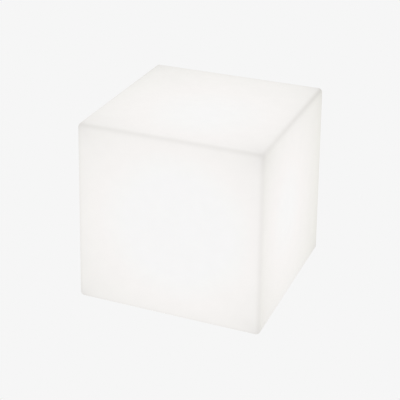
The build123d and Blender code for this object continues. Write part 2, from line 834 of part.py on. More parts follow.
core_corner_radius = core_apothem / cos(radians(180.0 / core_sides))
core_corner_angle = 180.0 / core_sides
side_angles = [360.0 * step / core_sides for step in range(core_sides)]
top_screw_places = on_circle(top_screw_circle, top_screw_count, core_corner_angle)
led_rows = [(row - (leds_per_side - 1) / 2) * led_pitch for row in range(leds_per_side)]
core_middle_z = core_z + core_length / 2
side_screw_rows = [sign * (leds_per_side - 2) / 2 * led_pitch for sign in (-1, 1)]


def side_hole(radius, depth, z, start):
    """Cylinder pointing outwards along +X from a distance, at a height."""
    return along_x(radius, depth, start + depth / 2, 0.0, z)


def set_screw_axis(side):
    """Turn that points +X at one of two opposite corners of the core."""
    return Rot(0, 0, core_corner_angle + side * 180.0)


def make_led_core():
    """Hexagonal aluminium core that slips over the post's spigot."""
    core = hex_prism(core_apothem, core_z, core_top_z)
    core -= disc(core_bore_radius, core_z, core_top_z)
    for side in (0, 1):
        reach = core_corner_radius - core_bore_radius
        hole = side_hole(m3_radius + seat_gap, reach * 2, core_z + set_screw_depth, spigot_radius)
        core -= set_screw_axis(side) * hole
    for angle in side_angles:
        for row in side_screw_rows:
            start = core_apothem + side_board_thickness - side_screw_length
            hole = side_hole(m2_radius + seat_gap, side_screw_length, core_middle_z + row, start)
            core -= Rot(0, 0, angle) * hole
    hole_z = top_board_z - top_screw_length - free_gap
    return drill(core, m2_radius + seat_gap, hole_z, core_top_z, top_screw_places)


def make_set_screw(side):
    """Headless screw through a corner of the core onto the spigot."""
    screw = side_hole(m3_radius, set_screw_length, core_z + set_screw_depth, spigot_radius + seat_gap)
    socket_start = spigot_radius + seat_gap + set_screw_length - m3_radius
    socket = Pos(socket_start, 0, core_z + set_screw_depth) * Rot(0, 90, 0)
    screw -= socket * extrude(RegularPolygon(m3_radius * drive_share, 6), m3_radius)
    return set_screw_axis(side) * screw


side_board_length = core_length - 2 * side_board_margin
side_board_face = core_apothem + side_board_thickness


def make_side_board(angle):
    """Aluminium-backed LED board on one flat of the core."""
    low_z = core_z + side_board_margin
    x = core_apothem + side_board_thickness / 2
    board = slab(side_board_thickness, side_board_width, low_z, low_z + side_board_length, x)
    for row in side_screw_rows:
        radius = m2_radius + screw_hole_gap
        board -= side_hole(radius, side_board_thickness, core_middle_z + row, core_apothem)
    return Rot(0, 0, angle) * board


def make_side_screw(angle, row):
    """Screw that holds a side board to the core."""
    screw = m2_screw(side_screw_length, 0.0, 0.0, 0.0)
    place = Pos(side_board_face, 0, core_middle_z + row) * Rot(0, 90, 0)
    return Rot(0, 0, angle) * place * screw


def make_led():
    """One LED package, face up at the origin, with a shallow round window."""
    package = slab(led_width, led_width, 0.0, led_height)
    return package - disc(led_lens_radius, led_height - led_lens_depth, led_height)


def make_side_leds(angle):
    """The row of LEDs on one side board."""
    leds = []
    for row in led_rows:
        place = Pos(side_board_face, 0, core_middle_z + row) * Rot(0, 90, 0)
        leds.append(Rot(0, 0, angle) * place * make_led())
    return leds


def make_top_board():
    """Round LED board on the core's upper end, which also joins the side boards."""
    board = disc(core_apothem, core_top_z, top_board_z)
    return drill(board, m2_radius + screw_hole_gap, core_top_z, top_board_z, top_screw_places)


def make_top_leds():
    """One LED in the middle of the top board and a circle round it."""
    places = [(0.0, 0.0)] + on_circle(top_led_circle, top_led_count)
    return [Pos(x, y, top_board_z) * make_led() for x, y in places]


def make_jumper(angle):
    """Stiff wire from the top board over the core's edge to a side board."""
    x = side_board_face + jumper_radius + seat_gap
    z = top_board_z + jumper_radius + seat_gap
    points = [
        (core_apothem - jumper_inset, 0.0, z),
        (x, 0.0, z),
        (x, 0.0, z - jumper_drop),
    ]
    return Rot(0, 0, angle) * lead(points, jumper_radius, jumper_bend_radius)


# ---- Inner diffuser --------------------------------------------------------------------------
def domed_tube(radius, z_low, z_high, top_radius):
    """Cylinder with a rounded top edge."""
    body = disc(radius, z_low, z_high)
    return fillet(body.edges().group_by(Axis.Z)[-1], top_radius)


def make_lamp_diffuser():
    """Opal cover over the LEDs, closed at the top, with a flange at the bottom."""
    cover = domed_tube(diffuser_radius, diffuser_z, diffuser_top_z, diffuser_top_radius)
    cover += disc(diffuser_flange_radius, diffuser_z, clamp_ring_shoulder_z)
    inner_top_radius = max(diffuser_top_radius - diffuser_wall, least_inner_radius)
    inner_radius = diffuser_radius - diffuser_wall
    return cover - domed_tube(
        inner_radius, diffuser_z, diffuser_top_z - diffuser_wall, inner_top_radius
    )


def make_diffuser_seal():
    """Flat silicone ring under the diffuser's flange."""
    inner_radius = diffuser_radius - diffuser_wall
    return ring(diffuser_flange_radius, inner_radius, deck_top_z, diffuser_z)


def make_clamp_ring():
    """Stepped ring that holds the diffuser's flange down on the deck."""
    body = disc(clamp_ring_radius, deck_top_z, clamp_ring_top_z)
    body = fillet(body.edges().group_by(Axis.Z)[-1], clamp_ring_edge)
    body -= disc(clamp_ring_inner, deck_top_z, clamp_ring_shoulder_z)
    body -= disc(clamp_ring_bore, clamp_ring_shoulder_z, clamp_ring_top_z)
    radius = m3_radius + screw_hole_gap
    return drill(body, radius, deck_top_z, clamp_ring_top_z, clamp_ring_screw_places)


# ---- Write the nodes -------------------------------------------------------------------------
def build_shell():
    """The glowing cube and what is fixed to it."""
    save("diffuser_shell", make_diffuser_shell())
    save("rubber_feet", *[make_foot(x, y) for x, y in foot_places])
    save("threaded_inserts", *[make_insert(x, y) for x, y in base_screw_places])
    save("base_screws", *[make_base_screw(x, y) for x, y in base_screw_places])
    save("base_gasket", make_base_gasket())


def build_controls():
    """Housing, button, charging port and indicator."""
    save("base_housing", make_base_housing())
    save("power_button", make_power_button())
    save("switch_plunger", make_switch_plunger())
    save("button_seal", make_button_seal())
    save("button_spring", make_button_spring())
    save("switch_body", make_switch_body())
    save("port_cover", make_port_cover())
    save("port_cover_seal", make_port_cover_seal())
    save("port_hinge_pin", make_hinge_pin())
    save("charge_socket", make_charge_socket())
    save("charge_socket_tongue", make_socket_tongue())
    save("indicator_light_pipe", make_light_pipe())
    save("indicator_led", make_indicator_led())


def build_electronics():
    """Control board, its components, the battery and the leads."""
    save("control_board", make_control_board())
    board_screws = [m2_screw(board_screw_length, x, y, board_top_z) for x, y in board_screw_places]
    save("board_screws", *board_screws)
    save("driver_chips", *make_driver_chips())
    save("power_inductor", make_power_inductor())
    save("filter_capacitors", *make_filter_capacitors())
    save("battery_connector", make_connector(-connector_x))
    save("lamp_connector", make_connector(connector_x))
    save("battery_tray", make_battery_tray())
    tray_screws = [m3_screw(tray_screw_length, x, y, tray_top_z) for x, y in tray_screw_places]
    save("tray_screws", *tray_screws)
    save("battery_cells", make_cell(-cell_y), make_cell(cell_y))
    save("cell_tabs", make_cell_tab(-1), make_cell_tab(1))
    save("battery_guard_board", make_protection_board())
    save("battery_clamp", make_battery_clamp())
    save("battery_clamp_pad", make_clamp_pad())
    clamp_seat_z = tray_top_z + clamp_boss_height + clamp_thickness
    clamp_screws = [m2_screw(clamp_screw_length, x, y, clamp_seat_z) for x, y in clamp_screw_places]
    save("battery_clamp_screws", *clamp_screws)
    save("battery_leads", *[make_battery_lead(y) for y in lead_offsets])
    save("lamp_leads", *[make_lamp_lead(y) for y in lead_offsets])


def build_lamp():
    """Deck, post, LED core and inner diffuser."""
    save("deck_seal", make_deck_seal())
    save("deck_plate", make_deck_plate())
    deck_screws = [m3_screw(deck_screw_length, x, y, deck_top_z) for x, y in deck_screw_places]
    save("deck_screws", *deck_screws)
    save("lead_grommet", make_lead_grommet())
    save("lamp_post", make_lamp_post())
    post_seat_z = deck_top_z + post_flange_thickness
    post_screws = [m3_screw(post_screw_length, x, y, post_seat_z) for x, y in post_screw_places]
    save("lamp_post_screws", *post_screws)
    save("led_core", make_led_core())
    save("core_set_screws", make_set_screw(0), make_set_screw(1))
    save("side_led_boards", *[make_side_board(angle) for angle in side_angles])
    side_screws = [make_side_screw(angle, row) for angle in side_angles for row in side_screw_rows]
    save("side_board_screws", *side_screws)
    save("side_leds", *[led for angle in side_angles for led in make_side_leds(angle)])
    save("top_led_board", make_top_board())
    top_screws = [m2_screw(top_screw_length, x, y, top_board_z) for x, y in top_screw_places]
    save("top_board_screws", *top_screws)
    save("top_leds", *make_top_leds())
    save("board_jumpers", *[make_jumper(angle) for angle in side_angles])
    save("lamp_diffuser", make_lamp_diffuser())
    save("diffuser_seal", make_diffuser_seal())
    save("diffuser_clamp_ring", make_clamp_ring())
    ring_screws = [
        m3_screw(clamp_ring_screw_length, x, y, clamp_ring_top_z)
        for x, y in clamp_ring_screw_places
    ]
    save("clamp_ring_screws", *ring_screws)


def main():
    """Build every node of the light."""
    os.makedirs("parts", exist_ok=True)
    build_shell()
    build_controls()
    build_electronics()
    build_lamp()


main()
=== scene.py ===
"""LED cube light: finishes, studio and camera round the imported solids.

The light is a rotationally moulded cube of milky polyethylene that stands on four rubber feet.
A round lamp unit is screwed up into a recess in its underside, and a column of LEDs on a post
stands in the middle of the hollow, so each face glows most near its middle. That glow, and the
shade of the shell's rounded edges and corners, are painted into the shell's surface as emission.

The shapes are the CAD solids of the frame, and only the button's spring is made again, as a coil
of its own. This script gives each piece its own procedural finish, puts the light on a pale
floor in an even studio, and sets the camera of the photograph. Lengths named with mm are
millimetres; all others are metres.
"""

from __future__ import annotations

import functools
import logging
import math
import sys
from dataclasses import dataclass, replace
from enum import Enum
from typing import Any, TypeAlias

import bmesh
import bpy
from mathutils import Matrix, Vector

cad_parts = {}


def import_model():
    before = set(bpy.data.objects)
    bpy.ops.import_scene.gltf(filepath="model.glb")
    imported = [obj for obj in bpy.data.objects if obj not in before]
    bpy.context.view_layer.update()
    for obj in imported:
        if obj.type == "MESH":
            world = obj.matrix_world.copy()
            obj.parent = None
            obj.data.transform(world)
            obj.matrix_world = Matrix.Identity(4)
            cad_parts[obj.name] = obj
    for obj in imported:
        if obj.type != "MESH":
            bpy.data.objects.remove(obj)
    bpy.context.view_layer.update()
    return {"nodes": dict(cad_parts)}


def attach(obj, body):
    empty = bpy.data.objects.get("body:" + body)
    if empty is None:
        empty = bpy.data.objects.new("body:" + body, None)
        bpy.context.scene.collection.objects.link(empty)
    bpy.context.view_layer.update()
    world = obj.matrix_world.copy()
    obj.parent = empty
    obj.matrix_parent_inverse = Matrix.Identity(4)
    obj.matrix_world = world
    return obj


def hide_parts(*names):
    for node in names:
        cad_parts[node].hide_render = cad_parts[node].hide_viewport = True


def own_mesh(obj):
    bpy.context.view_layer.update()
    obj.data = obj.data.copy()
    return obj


Node: TypeAlias = bpy.types.Node
Socket: TypeAlias = bpy.types.NodeSocket
Pair: TypeAlias = tuple[float, float]
Triple: TypeAlias = tuple[float, float, float]
Colour: TypeAlias = tuple[float, float, float, float]

MM = 0.001

# Values of a pattern at which there is none of it and all of it.
FULL = (0.0, 1.0)
NOISE = (0.3, 0.7)  # noise seldom leaves this range
STRONG_NOISE = (0.35, 0.65)
BLOOM = (0.15, 0.4)  # two noises multiplied
SPECKS = (0.4, 0.8)  # the peaks of a noise

# Inputs that go by their numbers, because the node has others of the same names.
VECTOR_RANGE = (6, 7, 8, 9, 10)  # a Map Range's vector, and what it comes from and turns into
COLOUR_A, COLOUR_B = 6, 7  # the two colours of a Mix

log = logging.getLogger("cube_light")


# ---- Small helpers -----------------------------------------------------------------------------
def linear(hex_colour: str) -> Colour:
    """Turn an sRGB hex colour into linear red, green, blue and an alpha of 1."""
    channels = (int(hex_colour[i : i + 2], 16) / 255 for i in (1, 3, 5))
    return (*(c / 12.92 if c <= 0.04045 else ((c + 0.055) / 1.055) ** 2.4 for c in channels), 1.0)


def per_metre(size_mm: float) -> float:
    """Scale of a texture whose features are size_mm across."""
    return 1.0 / (size_mm * MM)


class Wiring:
    """The nodes of one material, while they are joined up.

    Attributes:
        material: the material.
        surface: the output's socket for what the surface looks like.
    """

    def __init__(self, name: str) -> None:
        """Start a material with nothing but its output.

        Args:
            name: the material's name.
        """
        self.material = bpy.data.materials.new(name)
        self.material.use_nodes = True
        self.material.cycles.emission_sampling = "NONE"
        self.material.node_tree.nodes.clear()
        self.surface = self.add("OutputMaterial").inputs["Surface"]

    @functools.cached_property
    def shader(self) -> Node:
        """The Principled shader, which is what the surface looks like."""
        return self.add("BsdfPrincipled", to=self.surface)

    @functools.cached_property
    def place(self) -> Socket:
        """Position in metres in the frame at rest, which rides with the piece."""
        return self.add("TexCoord").outputs["Object"]

    def sized(self, size_mm: float, **more: float) -> dict[str, Any]:
        """What a texture gets whose features are size_mm across, and more."""
        return {"Vector": self.place, "Scale": per_metre(size_mm), **more}

    def add(self, kind: str, *feeds: Any, to: Socket | None = None, **settings: Any) -> Node:
        """Add one shader node with its settings and links.

        Args:
            kind: the node's type, without "ShaderNode".
            feeds: what its inputs get, in their order, or one dictionary that says it by their
                names or numbers: a node, whose first output in use is taken, a socket of a
                node, or a plain value.
            to: a socket that the node's first output in use goes to.
            settings: the node's own properties.

        Returns:
            The new node.
        """
        tree = self.material.node_tree
        new = tree.nodes.new("ShaderNode" + kind)
        for name, value in settings.items():
            setattr(new, name, value)
        by_input = feeds[0] if feeds and isinstance(feeds[0], dict) else dict(enumerate(feeds))
        for name, source in by_input.items():
            if isinstance(source, Node):
                source = next(out for out in source.outputs if out.enabled)
            if isinstance(source, Socket):
                tree.links.new(source, new.inputs[name])
            else:
                new.inputs[name].default_value = source
        if to is not None:
            tree.links.new(next(out for out in new.outputs if out.enabled), to)
        return new


# ---- Finishes ----------------------------------------------------------------------------------
@dataclass(frozen=True)
class Finish:
    """What a surface is made of and how it was made.

    Attributes:
        name: common name of the material and how its surface was made.
        base: its main colour, sRGB hex.
        tone: the colour that its pattern brings in, sRGB hex.
        roughness: how matt it is, 0 to 1.
        metallic: 1 for a bare metal.
        ior: index of refraction; a metal keeps the default.
        relief_mm: how far the pattern's peaks stand above its valleys.
        dulling: what the roughness gets more at either end of the pattern.
    """

    name: str
    base: str
    tone: str
    roughness: float = 0.5
    metallic: float = 0.0
    ior: float = 1.5
    relief_mm: float = 0.03
    dulling: Pair = (0.0, 0.0)

    def material(self) -> bpy.types.Material:
        """Build the material: plain values on the shader first, then its patterns.

        Returns:
            The material.
        """
        on = Wiring(self.name)
        on.shader.inputs["Base Color"].default_value = linear(self.base)
        on.shader.inputs["Roughness"].default_value = self.roughness
        on.shader.inputs["Metallic"].default_value = self.metallic
        on.shader.inputs["IOR"].default_value = self.ior
        relief = {"Height": self.wire(on), "Distance": self.relief_mm * MM, "Strength": 1.0}
        on.add("Bump", relief, to=on.shader.inputs["Normal"])
        return on.material

    def wire(self, on: Wiring) -> Node:
        """Add the finish's patterns to its material and return the relief's height, 0 to 1."""
        raise NotImplementedError

    def tint(self, on: Wiring, pattern: Node | Socket, spread: Pair = NOISE) -> None:
        """Turn the base colour into the tone by a pattern.

        Args:
            on: the nodes of the material.
            pattern: the pattern.
            spread: its values that give the base colour and the tone.
        """
        start, end = ((value,) * 3 for value in spread)
        base, tone = (linear(colour)[:3] for colour in (self.base, self.tone))
        feeds = dict(zip(VECTOR_RANGE, (pattern, start, end, base, tone)))
        on.add("MapRange", feeds, to=on.shader.inputs["Base Color"], data_type="FLOAT_VECTOR")

    def dull(self, on: Wiring, pattern: Node, spread: Pair = NOISE) -> None:
        """Vary the roughness by a pattern.

        Args:
            on: the nodes of the material.
            pattern: the pattern.
            spread: its values that give the two ends of dulling.
        """
        least, most = (self.roughness + value for value in self.dulling)
        feeds = (pattern, spread[0], spread[1], least, most)
        on.add("MapRange", *feeds, to=on.shader.inputs["Roughness"])


@dataclass(frozen=True, kw_only=True)
class LitPolyethylene(Finish):
    """Rotationally moulded milky polyethylene with a lamp behind it.

    The wall scatters the lamp's light so well that it looks the same from every side, and that
    light is painted into its surface as emission worked out from each point's place. The painted
    glow falls off from the part of each face that is nearest to the lamp. The mould's rounded
    edges and corners, where the lamp's light meets the wall at a slant and the wall is thickest,
    get painted shade that makes them a shade darker, and the sides, the back and the floor round
    the lamp unit get painted shade and light of their own. The powder it is made from fuses with
    a very faint cloudiness, and the mould leaves a slight orange peel.

    Attributes:
        half_width_mm: from the middle to a side, at the top.
        bottom_mm: height of the wall's lowest face.
        top_mm: height of its top face.
        draft: how much further out each side is per unit of height downwards.
        unit_mm: radius of the lamp unit that fills the middle of the floor.
        lamp_mm: where the light comes from.
        far_light: the wall's light far from the lamp, red, green and blue.
        lamp_light: what the lamp adds at near_mm from it.
        near_mm: distance from the lamp at which it adds that.
        falloff: power of the distance by which that fades.
        brightest: what the brightest parts of a face reach, which is the photograph's white.
        reflected: what the wall returns of the studio's own light.
        edge_shade: how much darker the rounded edges are at most.
        edge_mm: distance from an edge at which that shade ends.
        skirt_shade: how much darker the wall round each edge is, next to the edge.
        skirt_mm: how far that shade reaches.
        edge_lean: how much stronger both are per metre along y, towards the back.
        corner_shade: how much darker the corners are.
        corner_mm: how far that shade reaches.
        tip_shade: how much darker again their very tips are, as painted shade.
        tip_mm: how far that shade reaches.
        side_shade: how much darker the left and right sides are along their brightest line.
        side_middle_mm: where that line is, along y.
        side_reach_mm: from that line to where the shade has doubled.
        back_light: what the back gets more than its distance from the lamp gives it.
        face_power: power of a face's slope that keeps its rounded edges out of those two.
        under_shade: share of the light that the lamp unit keeps from the floor next to it.
        under_ring: where that shade starts to fade and where it ends, in radii of the unit.
        floor_mm: heights between which the floor's shade gives way to the sides' light.
        cloud_mm: size of the faint clouds in the wall.
        peel_mm: size of the orange peel, which is 1 to 3 mm on such a moulding.
        sheen: specular level, low because the skin is waxy and the glow drowns its gloss.
    """

    half_width_mm: float
    bottom_mm: float
    top_mm: float
    draft: float
    unit_mm: float
    lamp_mm: Triple = (24.0, -50.0, 208.0)
    far_light: Triple = (0.7818, 0.7931, 0.738)
    lamp_light: Triple = (0.1633, 0.1283, 0.1742)
    near_mm: float = 200.0
    falloff: float = 0.8
    brightest: Triple = (0.9258, 0.9216, 0.9216)
    reflected: Triple = (0.5585, 0.5585, 0.5585)
    edge_shade: Triple = (0.0921, 0.0938, 0.0978)
    edge_mm: float = 11.25
    skirt_shade: Triple = (0.0418, 0.0402, 0.0426)
    skirt_mm: float = 16.0
    edge_lean: float = 1.775
    corner_shade: Triple = (0.059, 0.063, 0.055)
    corner_mm: float = 30.0
    tip_shade: Triple = (0.055, 0.055, 0.055)
    tip_mm: float = 8.0
    side_shade: Triple = (0.0121, 0.0114, 0.015)
    side_middle_mm: float = -18.0
    side_reach_mm: float = 112.0
    back_light: Triple = (0.014, 0.016, 0.02)
    face_power: float = 6.0
    under_shade: float = 0.2
    under_ring: Pair = (1.3, 1.7)
    floor_mm: Pair = (30.0, 50.0)
    cloud_mm: float = 28.0
    peel_mm: float = 2.5
    sheen: float = 0.08

    def wire(self, on: Wiring) -> Node:
        """Paint the wall's glow and shades into it as emission, and give it its orange peel.

        Args:
            on: the nodes of its material.

        Returns:
            The peel's height, 0 to 1.
        """
        light = self.edges(on, self.glow(on))
        light = self.sides(on, light)
        light = on.add("VectorMath", light, self.brightest, operation="MINIMUM")
        light = self.under(on, light)
        own = on.add("VectorMath", light, self.reflected, operation="SUBTRACT")
        feeds = (own, (0.0, 0.0, 0.0))
        on.add("VectorMath", *feeds, to=on.shader.inputs["Emission Color"], operation="MAXIMUM")
        on.shader.inputs["Emission Strength"].default_value = 1.0
        on.shader.inputs["Specular IOR Level"].default_value = self.sheen
        self.tint(on, on.add("TexNoise", on.sized(self.cloud_mm, Detail=3.0)))
        return on.add("TexNoise", on.sized(self.peel_mm, Detail=2.0))

    def glow(self, on: Wiring) -> Node:
        """Painted light that leaves the wall where nothing shades it.

        Args:
            on: the nodes of the wall's material.

        Returns:
            The light as a vector of red, green and blue.
        """
        lamp = tuple(v * MM for v in self.lamp_mm)
        away = on.add("VectorMath", on.place, lamp, operation="DISTANCE")
        near = on.add("Math", self.near_mm * MM, away, operation="DIVIDE")
        fade = on.add("Math", near, self.falloff, operation="POWER")
        feeds = (fade, self.lamp_light, self.far_light)
        return on.add("VectorMath", *feeds, operation="MULTIPLY_ADD")

    def edges(self, on: Wiring, light: Node) -> Node:
        """Paint shade onto the rounded edges and the corners.

        A point's distances inwards from the nearest side, from the front or back and from the
        top or bottom are sorted. On the wall the least is about 0, the middle one is the
        distance to an edge, and the largest the distance along that edge to a corner.

        Args:
            on: the nodes of the wall's material.
            light: the light that is shaded.

        Returns:
            The shaded light.
        """
        centre = (0.0, 0.0, (self.top_mm + self.bottom_mm) / 2 * MM)
        half_height = (self.top_mm - self.bottom_mm) / 2 * MM
        from_centre = on.add("VectorMath", on.place, centre, operation="SUBTRACT")
        split = on.add("SeparateXYZ", on.place)
        at_floor = (self.half_width_mm + self.draft * self.top_mm) * MM
        side = on.add("Math", split.outputs["Z"], -self.draft, at_floor, operation="MULTIPLY_ADD")
        limit = on.add("CombineXYZ", {"X": side, "Y": side, "Z": half_height})
        size = on.add("VectorMath", from_centre, operation="ABSOLUTE")
        inwards = on.add("VectorMath", limit, size, operation="SUBTRACT")
        x, y, z = on.add("SeparateXYZ", inwards).outputs
        less = on.add("Math", x, y, operation="MINIMUM")
        more = on.add("Math", x, y, operation="MAXIMUM")
        largest = on.add("Math", more, z, operation="MAXIMUM")
        inner = on.add("Math", more, z, operation="MINIMUM")
        middle = on.add("Math", less, inner, operation="MAXIMUM")
        lean = on.add("Math", split.outputs["Y"], self.edge_lean, 1.0, operation="MULTIPLY_ADD")
        feeds = (middle, 0.0, self.edge_mm * MM, 1.0, 0.0)
        band = on.add("MapRange", *feeds, interpolation_type="SMOOTHSTEP")
        shades = (
            (band, self.edge_shade, lean),
            (self.fading(on, middle, self.skirt_mm), self.skirt_shade, lean),
            (self.fading(on, largest, self.corner_mm), self.corner_shade, 1.0),
            (self.fading(on, largest, self.tip_mm), self.tip_shade, 1.0),
        )
        for pattern, shade, strength in shades:
            share = on.add("Math", pattern, strength, operation="MULTIPLY")
            feeds = (share, tuple(-v for v in shade), light)
            light = on.add("VectorMath", *feeds, operation="MULTIPLY_ADD")
        return light

    def fading(self, on: Wiring, distance: Node, reach_mm: float) -> Node:
        """A pattern that is 1 at a distance of 0 metres and about a third of that at reach_mm."""
        gone = on.add("Math", distance, -per_metre(reach_mm), operation="MULTIPLY")
        return on.add("Math", gone, operation="EXPONENT")

    def sides(self, on: Wiring, light: Node) -> Node:
        """Paint shade on the left and right sides, lit more narrowly, and light to even the back.

        Args:
            on: the nodes of the wall's material.
            light: the light that is shaded.

        Returns:
            The shaded light.
        """
        normal = on.add("TexCoord").outputs["Normal"]
        x, y, _ = on.add("SeparateXYZ", normal).outputs
        aside = on.add("Math", x, operation="ABSOLUTE")
        behind = on.add("Math", y, 0.0, operation="MAXIMUM")
        aside = on.add("Math", aside, self.face_power, operation="POWER")
        behind = on.add("Math", behind, self.face_power, operation="POWER")
        light = on.add("VectorMath", behind, self.back_light, light, operation="MULTIPLY_ADD")
        along = on.add("SeparateXYZ", on.place).outputs["Y"]
        reach = per_metre(self.side_reach_mm)
        feeds = (along, reach, -self.side_middle_mm * MM * reach)
        away = on.add("Math", *feeds, operation="MULTIPLY_ADD")
        narrow = on.add("Math", away, away, 1.0, operation="MULTIPLY_ADD")
        shade = on.add("Math", narrow, aside, operation="MULTIPLY")
        feeds = (shade, tuple(-v for v in self.side_shade), light)
        return on.add("VectorMath", *feeds, operation="MULTIPLY_ADD")

    def under(self, on: Wiring, light: Node) -> Node:
        """Paint shade onto the part of the floor that the lamp unit hides from the LEDs.

        Seen from the LEDs over the rim of the unit, the floor comes out of the unit's shade
        gradually, between the two radii of under_ring.

        Args:
            on: the nodes of the wall's material.
            light: the light that is shaded.

        Returns:
            The shaded light.
        """
        flat = on.add("VectorMath", on.place, (1.0, 1.0, 0.0), operation="MULTIPLY")
        radius = on.add("VectorMath", flat, operation="LENGTH").outputs["Value"]
        inner, outer = (share * self.unit_mm * MM for share in self.under_ring)
        feeds = (radius, inner, outer, 1.0 - self.under_shade, 1.0)
        shade = on.add("MapRange", *feeds, interpolation_type="SMOOTHSTEP")
        z = on.add("SeparateXYZ", on.place).outputs["Z"]
        low, high = (height * MM for height in self.floor_mm)
        kept = on.add("MapRange", z, low, high, shade, 1.0)
        return on.add("VectorMath", {"Vector": light, "Scale": kept}, operation="SCALE")


@dataclass(frozen=True)
class MouldedPlastic(Finish):
    """Injection-moulded plastic from a spark-eroded tool.

    The tool leaves an even grit that breaks every highlight into a soft sheen, and the colour
    drifts very slightly where the plastic flowed last.

    Attributes:
        grit_mm: size of the grit. Real spark erosion leaves 0.05 to 0.2 mm, which is too fine to
            show in the render, so it is drawn as coarse as it needs.
        flow_mm: size of the drifts in colour.
        dulling: for the valleys and the peaks of the grit.
    """

    grit_mm: float = 1.2
    flow_mm: float = 22.0
    dulling: Pair = (-0.06, 0.06)

    def wire(self, on: Wiring) -> Node:
        """Let the colour drift and roughen the surface by its grit.

        Args:
            on: the nodes of its material.

        Returns:
            The grit's height, 0 to 1.
        """
        flow = on.add("TexNoise", on.sized(self.flow_mm))
        self.tint(on, flow, STRONG_NOISE)
        grit = on.add("TexNoise", on.sized(self.grit_mm, Detail=3.0))
        self.dull(on, grit)
        return grit


@dataclass(frozen=True, kw_only=True)
class MarkedPlastic(MouldedPlastic):
    """Moulded plastic with the usual power mark, a broken ring and a stroke, printed on it.

    Attributes:
        mark: colour of the mark, sRGB hex.
        middle_mm: where the ring's middle is, along x; along y it is at 0.
        ring_mm: radius of the ring's middle line.
        line_mm: width of its line.
        gap_lines: how far the ring is open on each side of the stroke's middle, in line widths.
    """

    mark: str
    middle_mm: float
    ring_mm: float
    line_mm: float = 0.7
    gap_lines: float = 2.0

    def wire(self, on: Wiring) -> Node:
        """Print the mark over the moulded plastic.

        Args:
            on: the nodes of its material.

        Returns:
            The grit's height, 0 to 1.
        """
        grit = super().wire(on)
        middle = (self.middle_mm * MM, 0.0, 0.0)
        local = on.add("VectorMath", on.place, middle, operation="SUBTRACT")
        x, y, _ = on.add("SeparateXYZ", local).outputs
        flat = on.add("CombineXYZ", {"X": x, "Y": y})
        radius = on.add("VectorMath", flat, operation="LENGTH").outputs["Value"]
        half = self.line_mm / 2 * MM
        open_half = self.gap_lines * self.line_mm * MM
        ring = on.add("Math", radius, self.ring_mm * MM, half, operation="COMPARE")
        aside = on.add("Math", x, 0.0, half, operation="COMPARE")
        near = on.add("Math", x, 0.0, open_half, operation="COMPARE")
        above = on.add("Math", y, 0.0, operation="GREATER_THAN")
        gap = on.add("Math", near, above, operation="MULTIPLY")
        ring = on.add("Math", ring, gap, operation="SUBTRACT")
        reach = (self.ring_mm + self.line_mm) / 2 * MM
        along = on.add("Math", y, reach, reach, operation="COMPARE")
        stroke = on.add("Math", aside, along, operation="MULTIPLY")
        shape = on.add("Math", ring, stroke, operation="MAXIMUM")
        colour = on.shader.inputs["Base Color"]
        plain_colour = colour.links[0].from_socket
        feeds = {"Factor": shape, COLOUR_A: plain_colour, COLOUR_B: linear(self.mark)}
        on.add("Mix", feeds, to=colour, data_type="RGBA")
        return grit


@dataclass(frozen=True)
class Elastomer(Finish):
    """Compression-moulded rubber or silicone.

    It is dull and soft to the eye: fine pores hold a pale bloom, and nothing in it mirrors.

    Attributes:
        pore_mm: size of the pores and the bloom in them. Real ones are 0.1 to 0.3 mm, which is
            too fine to show, so they are drawn as coarse as they need.
        dust_mm: size of the patches in which the bloom gathers.
        dulling: for bare rubber and under the bloom.
    """

    pore_mm: float = 0.9
    dust_mm: float = 9.0
    dulling: Pair = (-0.08, 0.08)

    def wire(self, on: Wiring) -> Node:
        """Lay the bloom over the rubber and open its pores.

        Args:
            on: the nodes of its material.

        Returns:
            The pores' height, 0 to 1.
        """
        pores = on.add("TexNoise", on.sized(self.pore_mm, Detail=4.0))
        dust = on.add("TexNoise", on.sized(self.dust_mm))
        bloom = on.add("Math", pores, dust, operation="MULTIPLY")
        self.tint(on, bloom, BLOOM)
        self.dull(on, bloom, BLOOM)
        return pores


class Grain(Enum):
    """How a metal was worked: the size of its marks along x, y and z, in millimetres."""

    TUMBLED = (0.9, 0.9, 0.9)  # small dents on all sides
    ROLLED = (30.0, 0.8, 0.8)  # straight streaks along the strip
    TURNED = (25.0, 25.0, 0.7)  # rings round a vertical axis
    EXTRUDED = (0.8, 0.8, 50.0)  # die lines along the section
    PLATED = (2.5, 2.5, 2.5)  # soft mottling under a thin bright layer


@dataclass(frozen=True, kw_only=True)
class WorkedMetal(Finish):
    """Bare or plated metal with the marks of its working.

    The marks stretch each highlight across them, and between them the metal is a little duller.
    Real tool marks are 0.02 to 0.1 mm apart, so they are drawn as coarse as they need to show.

    Attributes:
        grain: how the metal was worked.
        metallic: 1, as on every bare metal.
        dulling: for the marks' valleys and peaks.
    """

    grain: Grain
    metallic: float = 1.0
    dulling: Pair = (-0.08, 0.1)

    def wire(self, on: Wiring) -> Node:
        """Streak the colour, the gloss and the relief along the grain.

        Args:
            on: the nodes of its material.

        Returns:
            The marks' height, 0 to 1.
        """
        scale = tuple(per_metre(size) for size in self.grain.value)
        along = on.add("VectorMath", on.place, scale, operation="MULTIPLY")
        marks = on.add("TexNoise", {"Vector": along, "Scale": 1.0, "Detail": 3.0})
        self.tint(on, marks)
        self.dull(on, marks)
        return marks


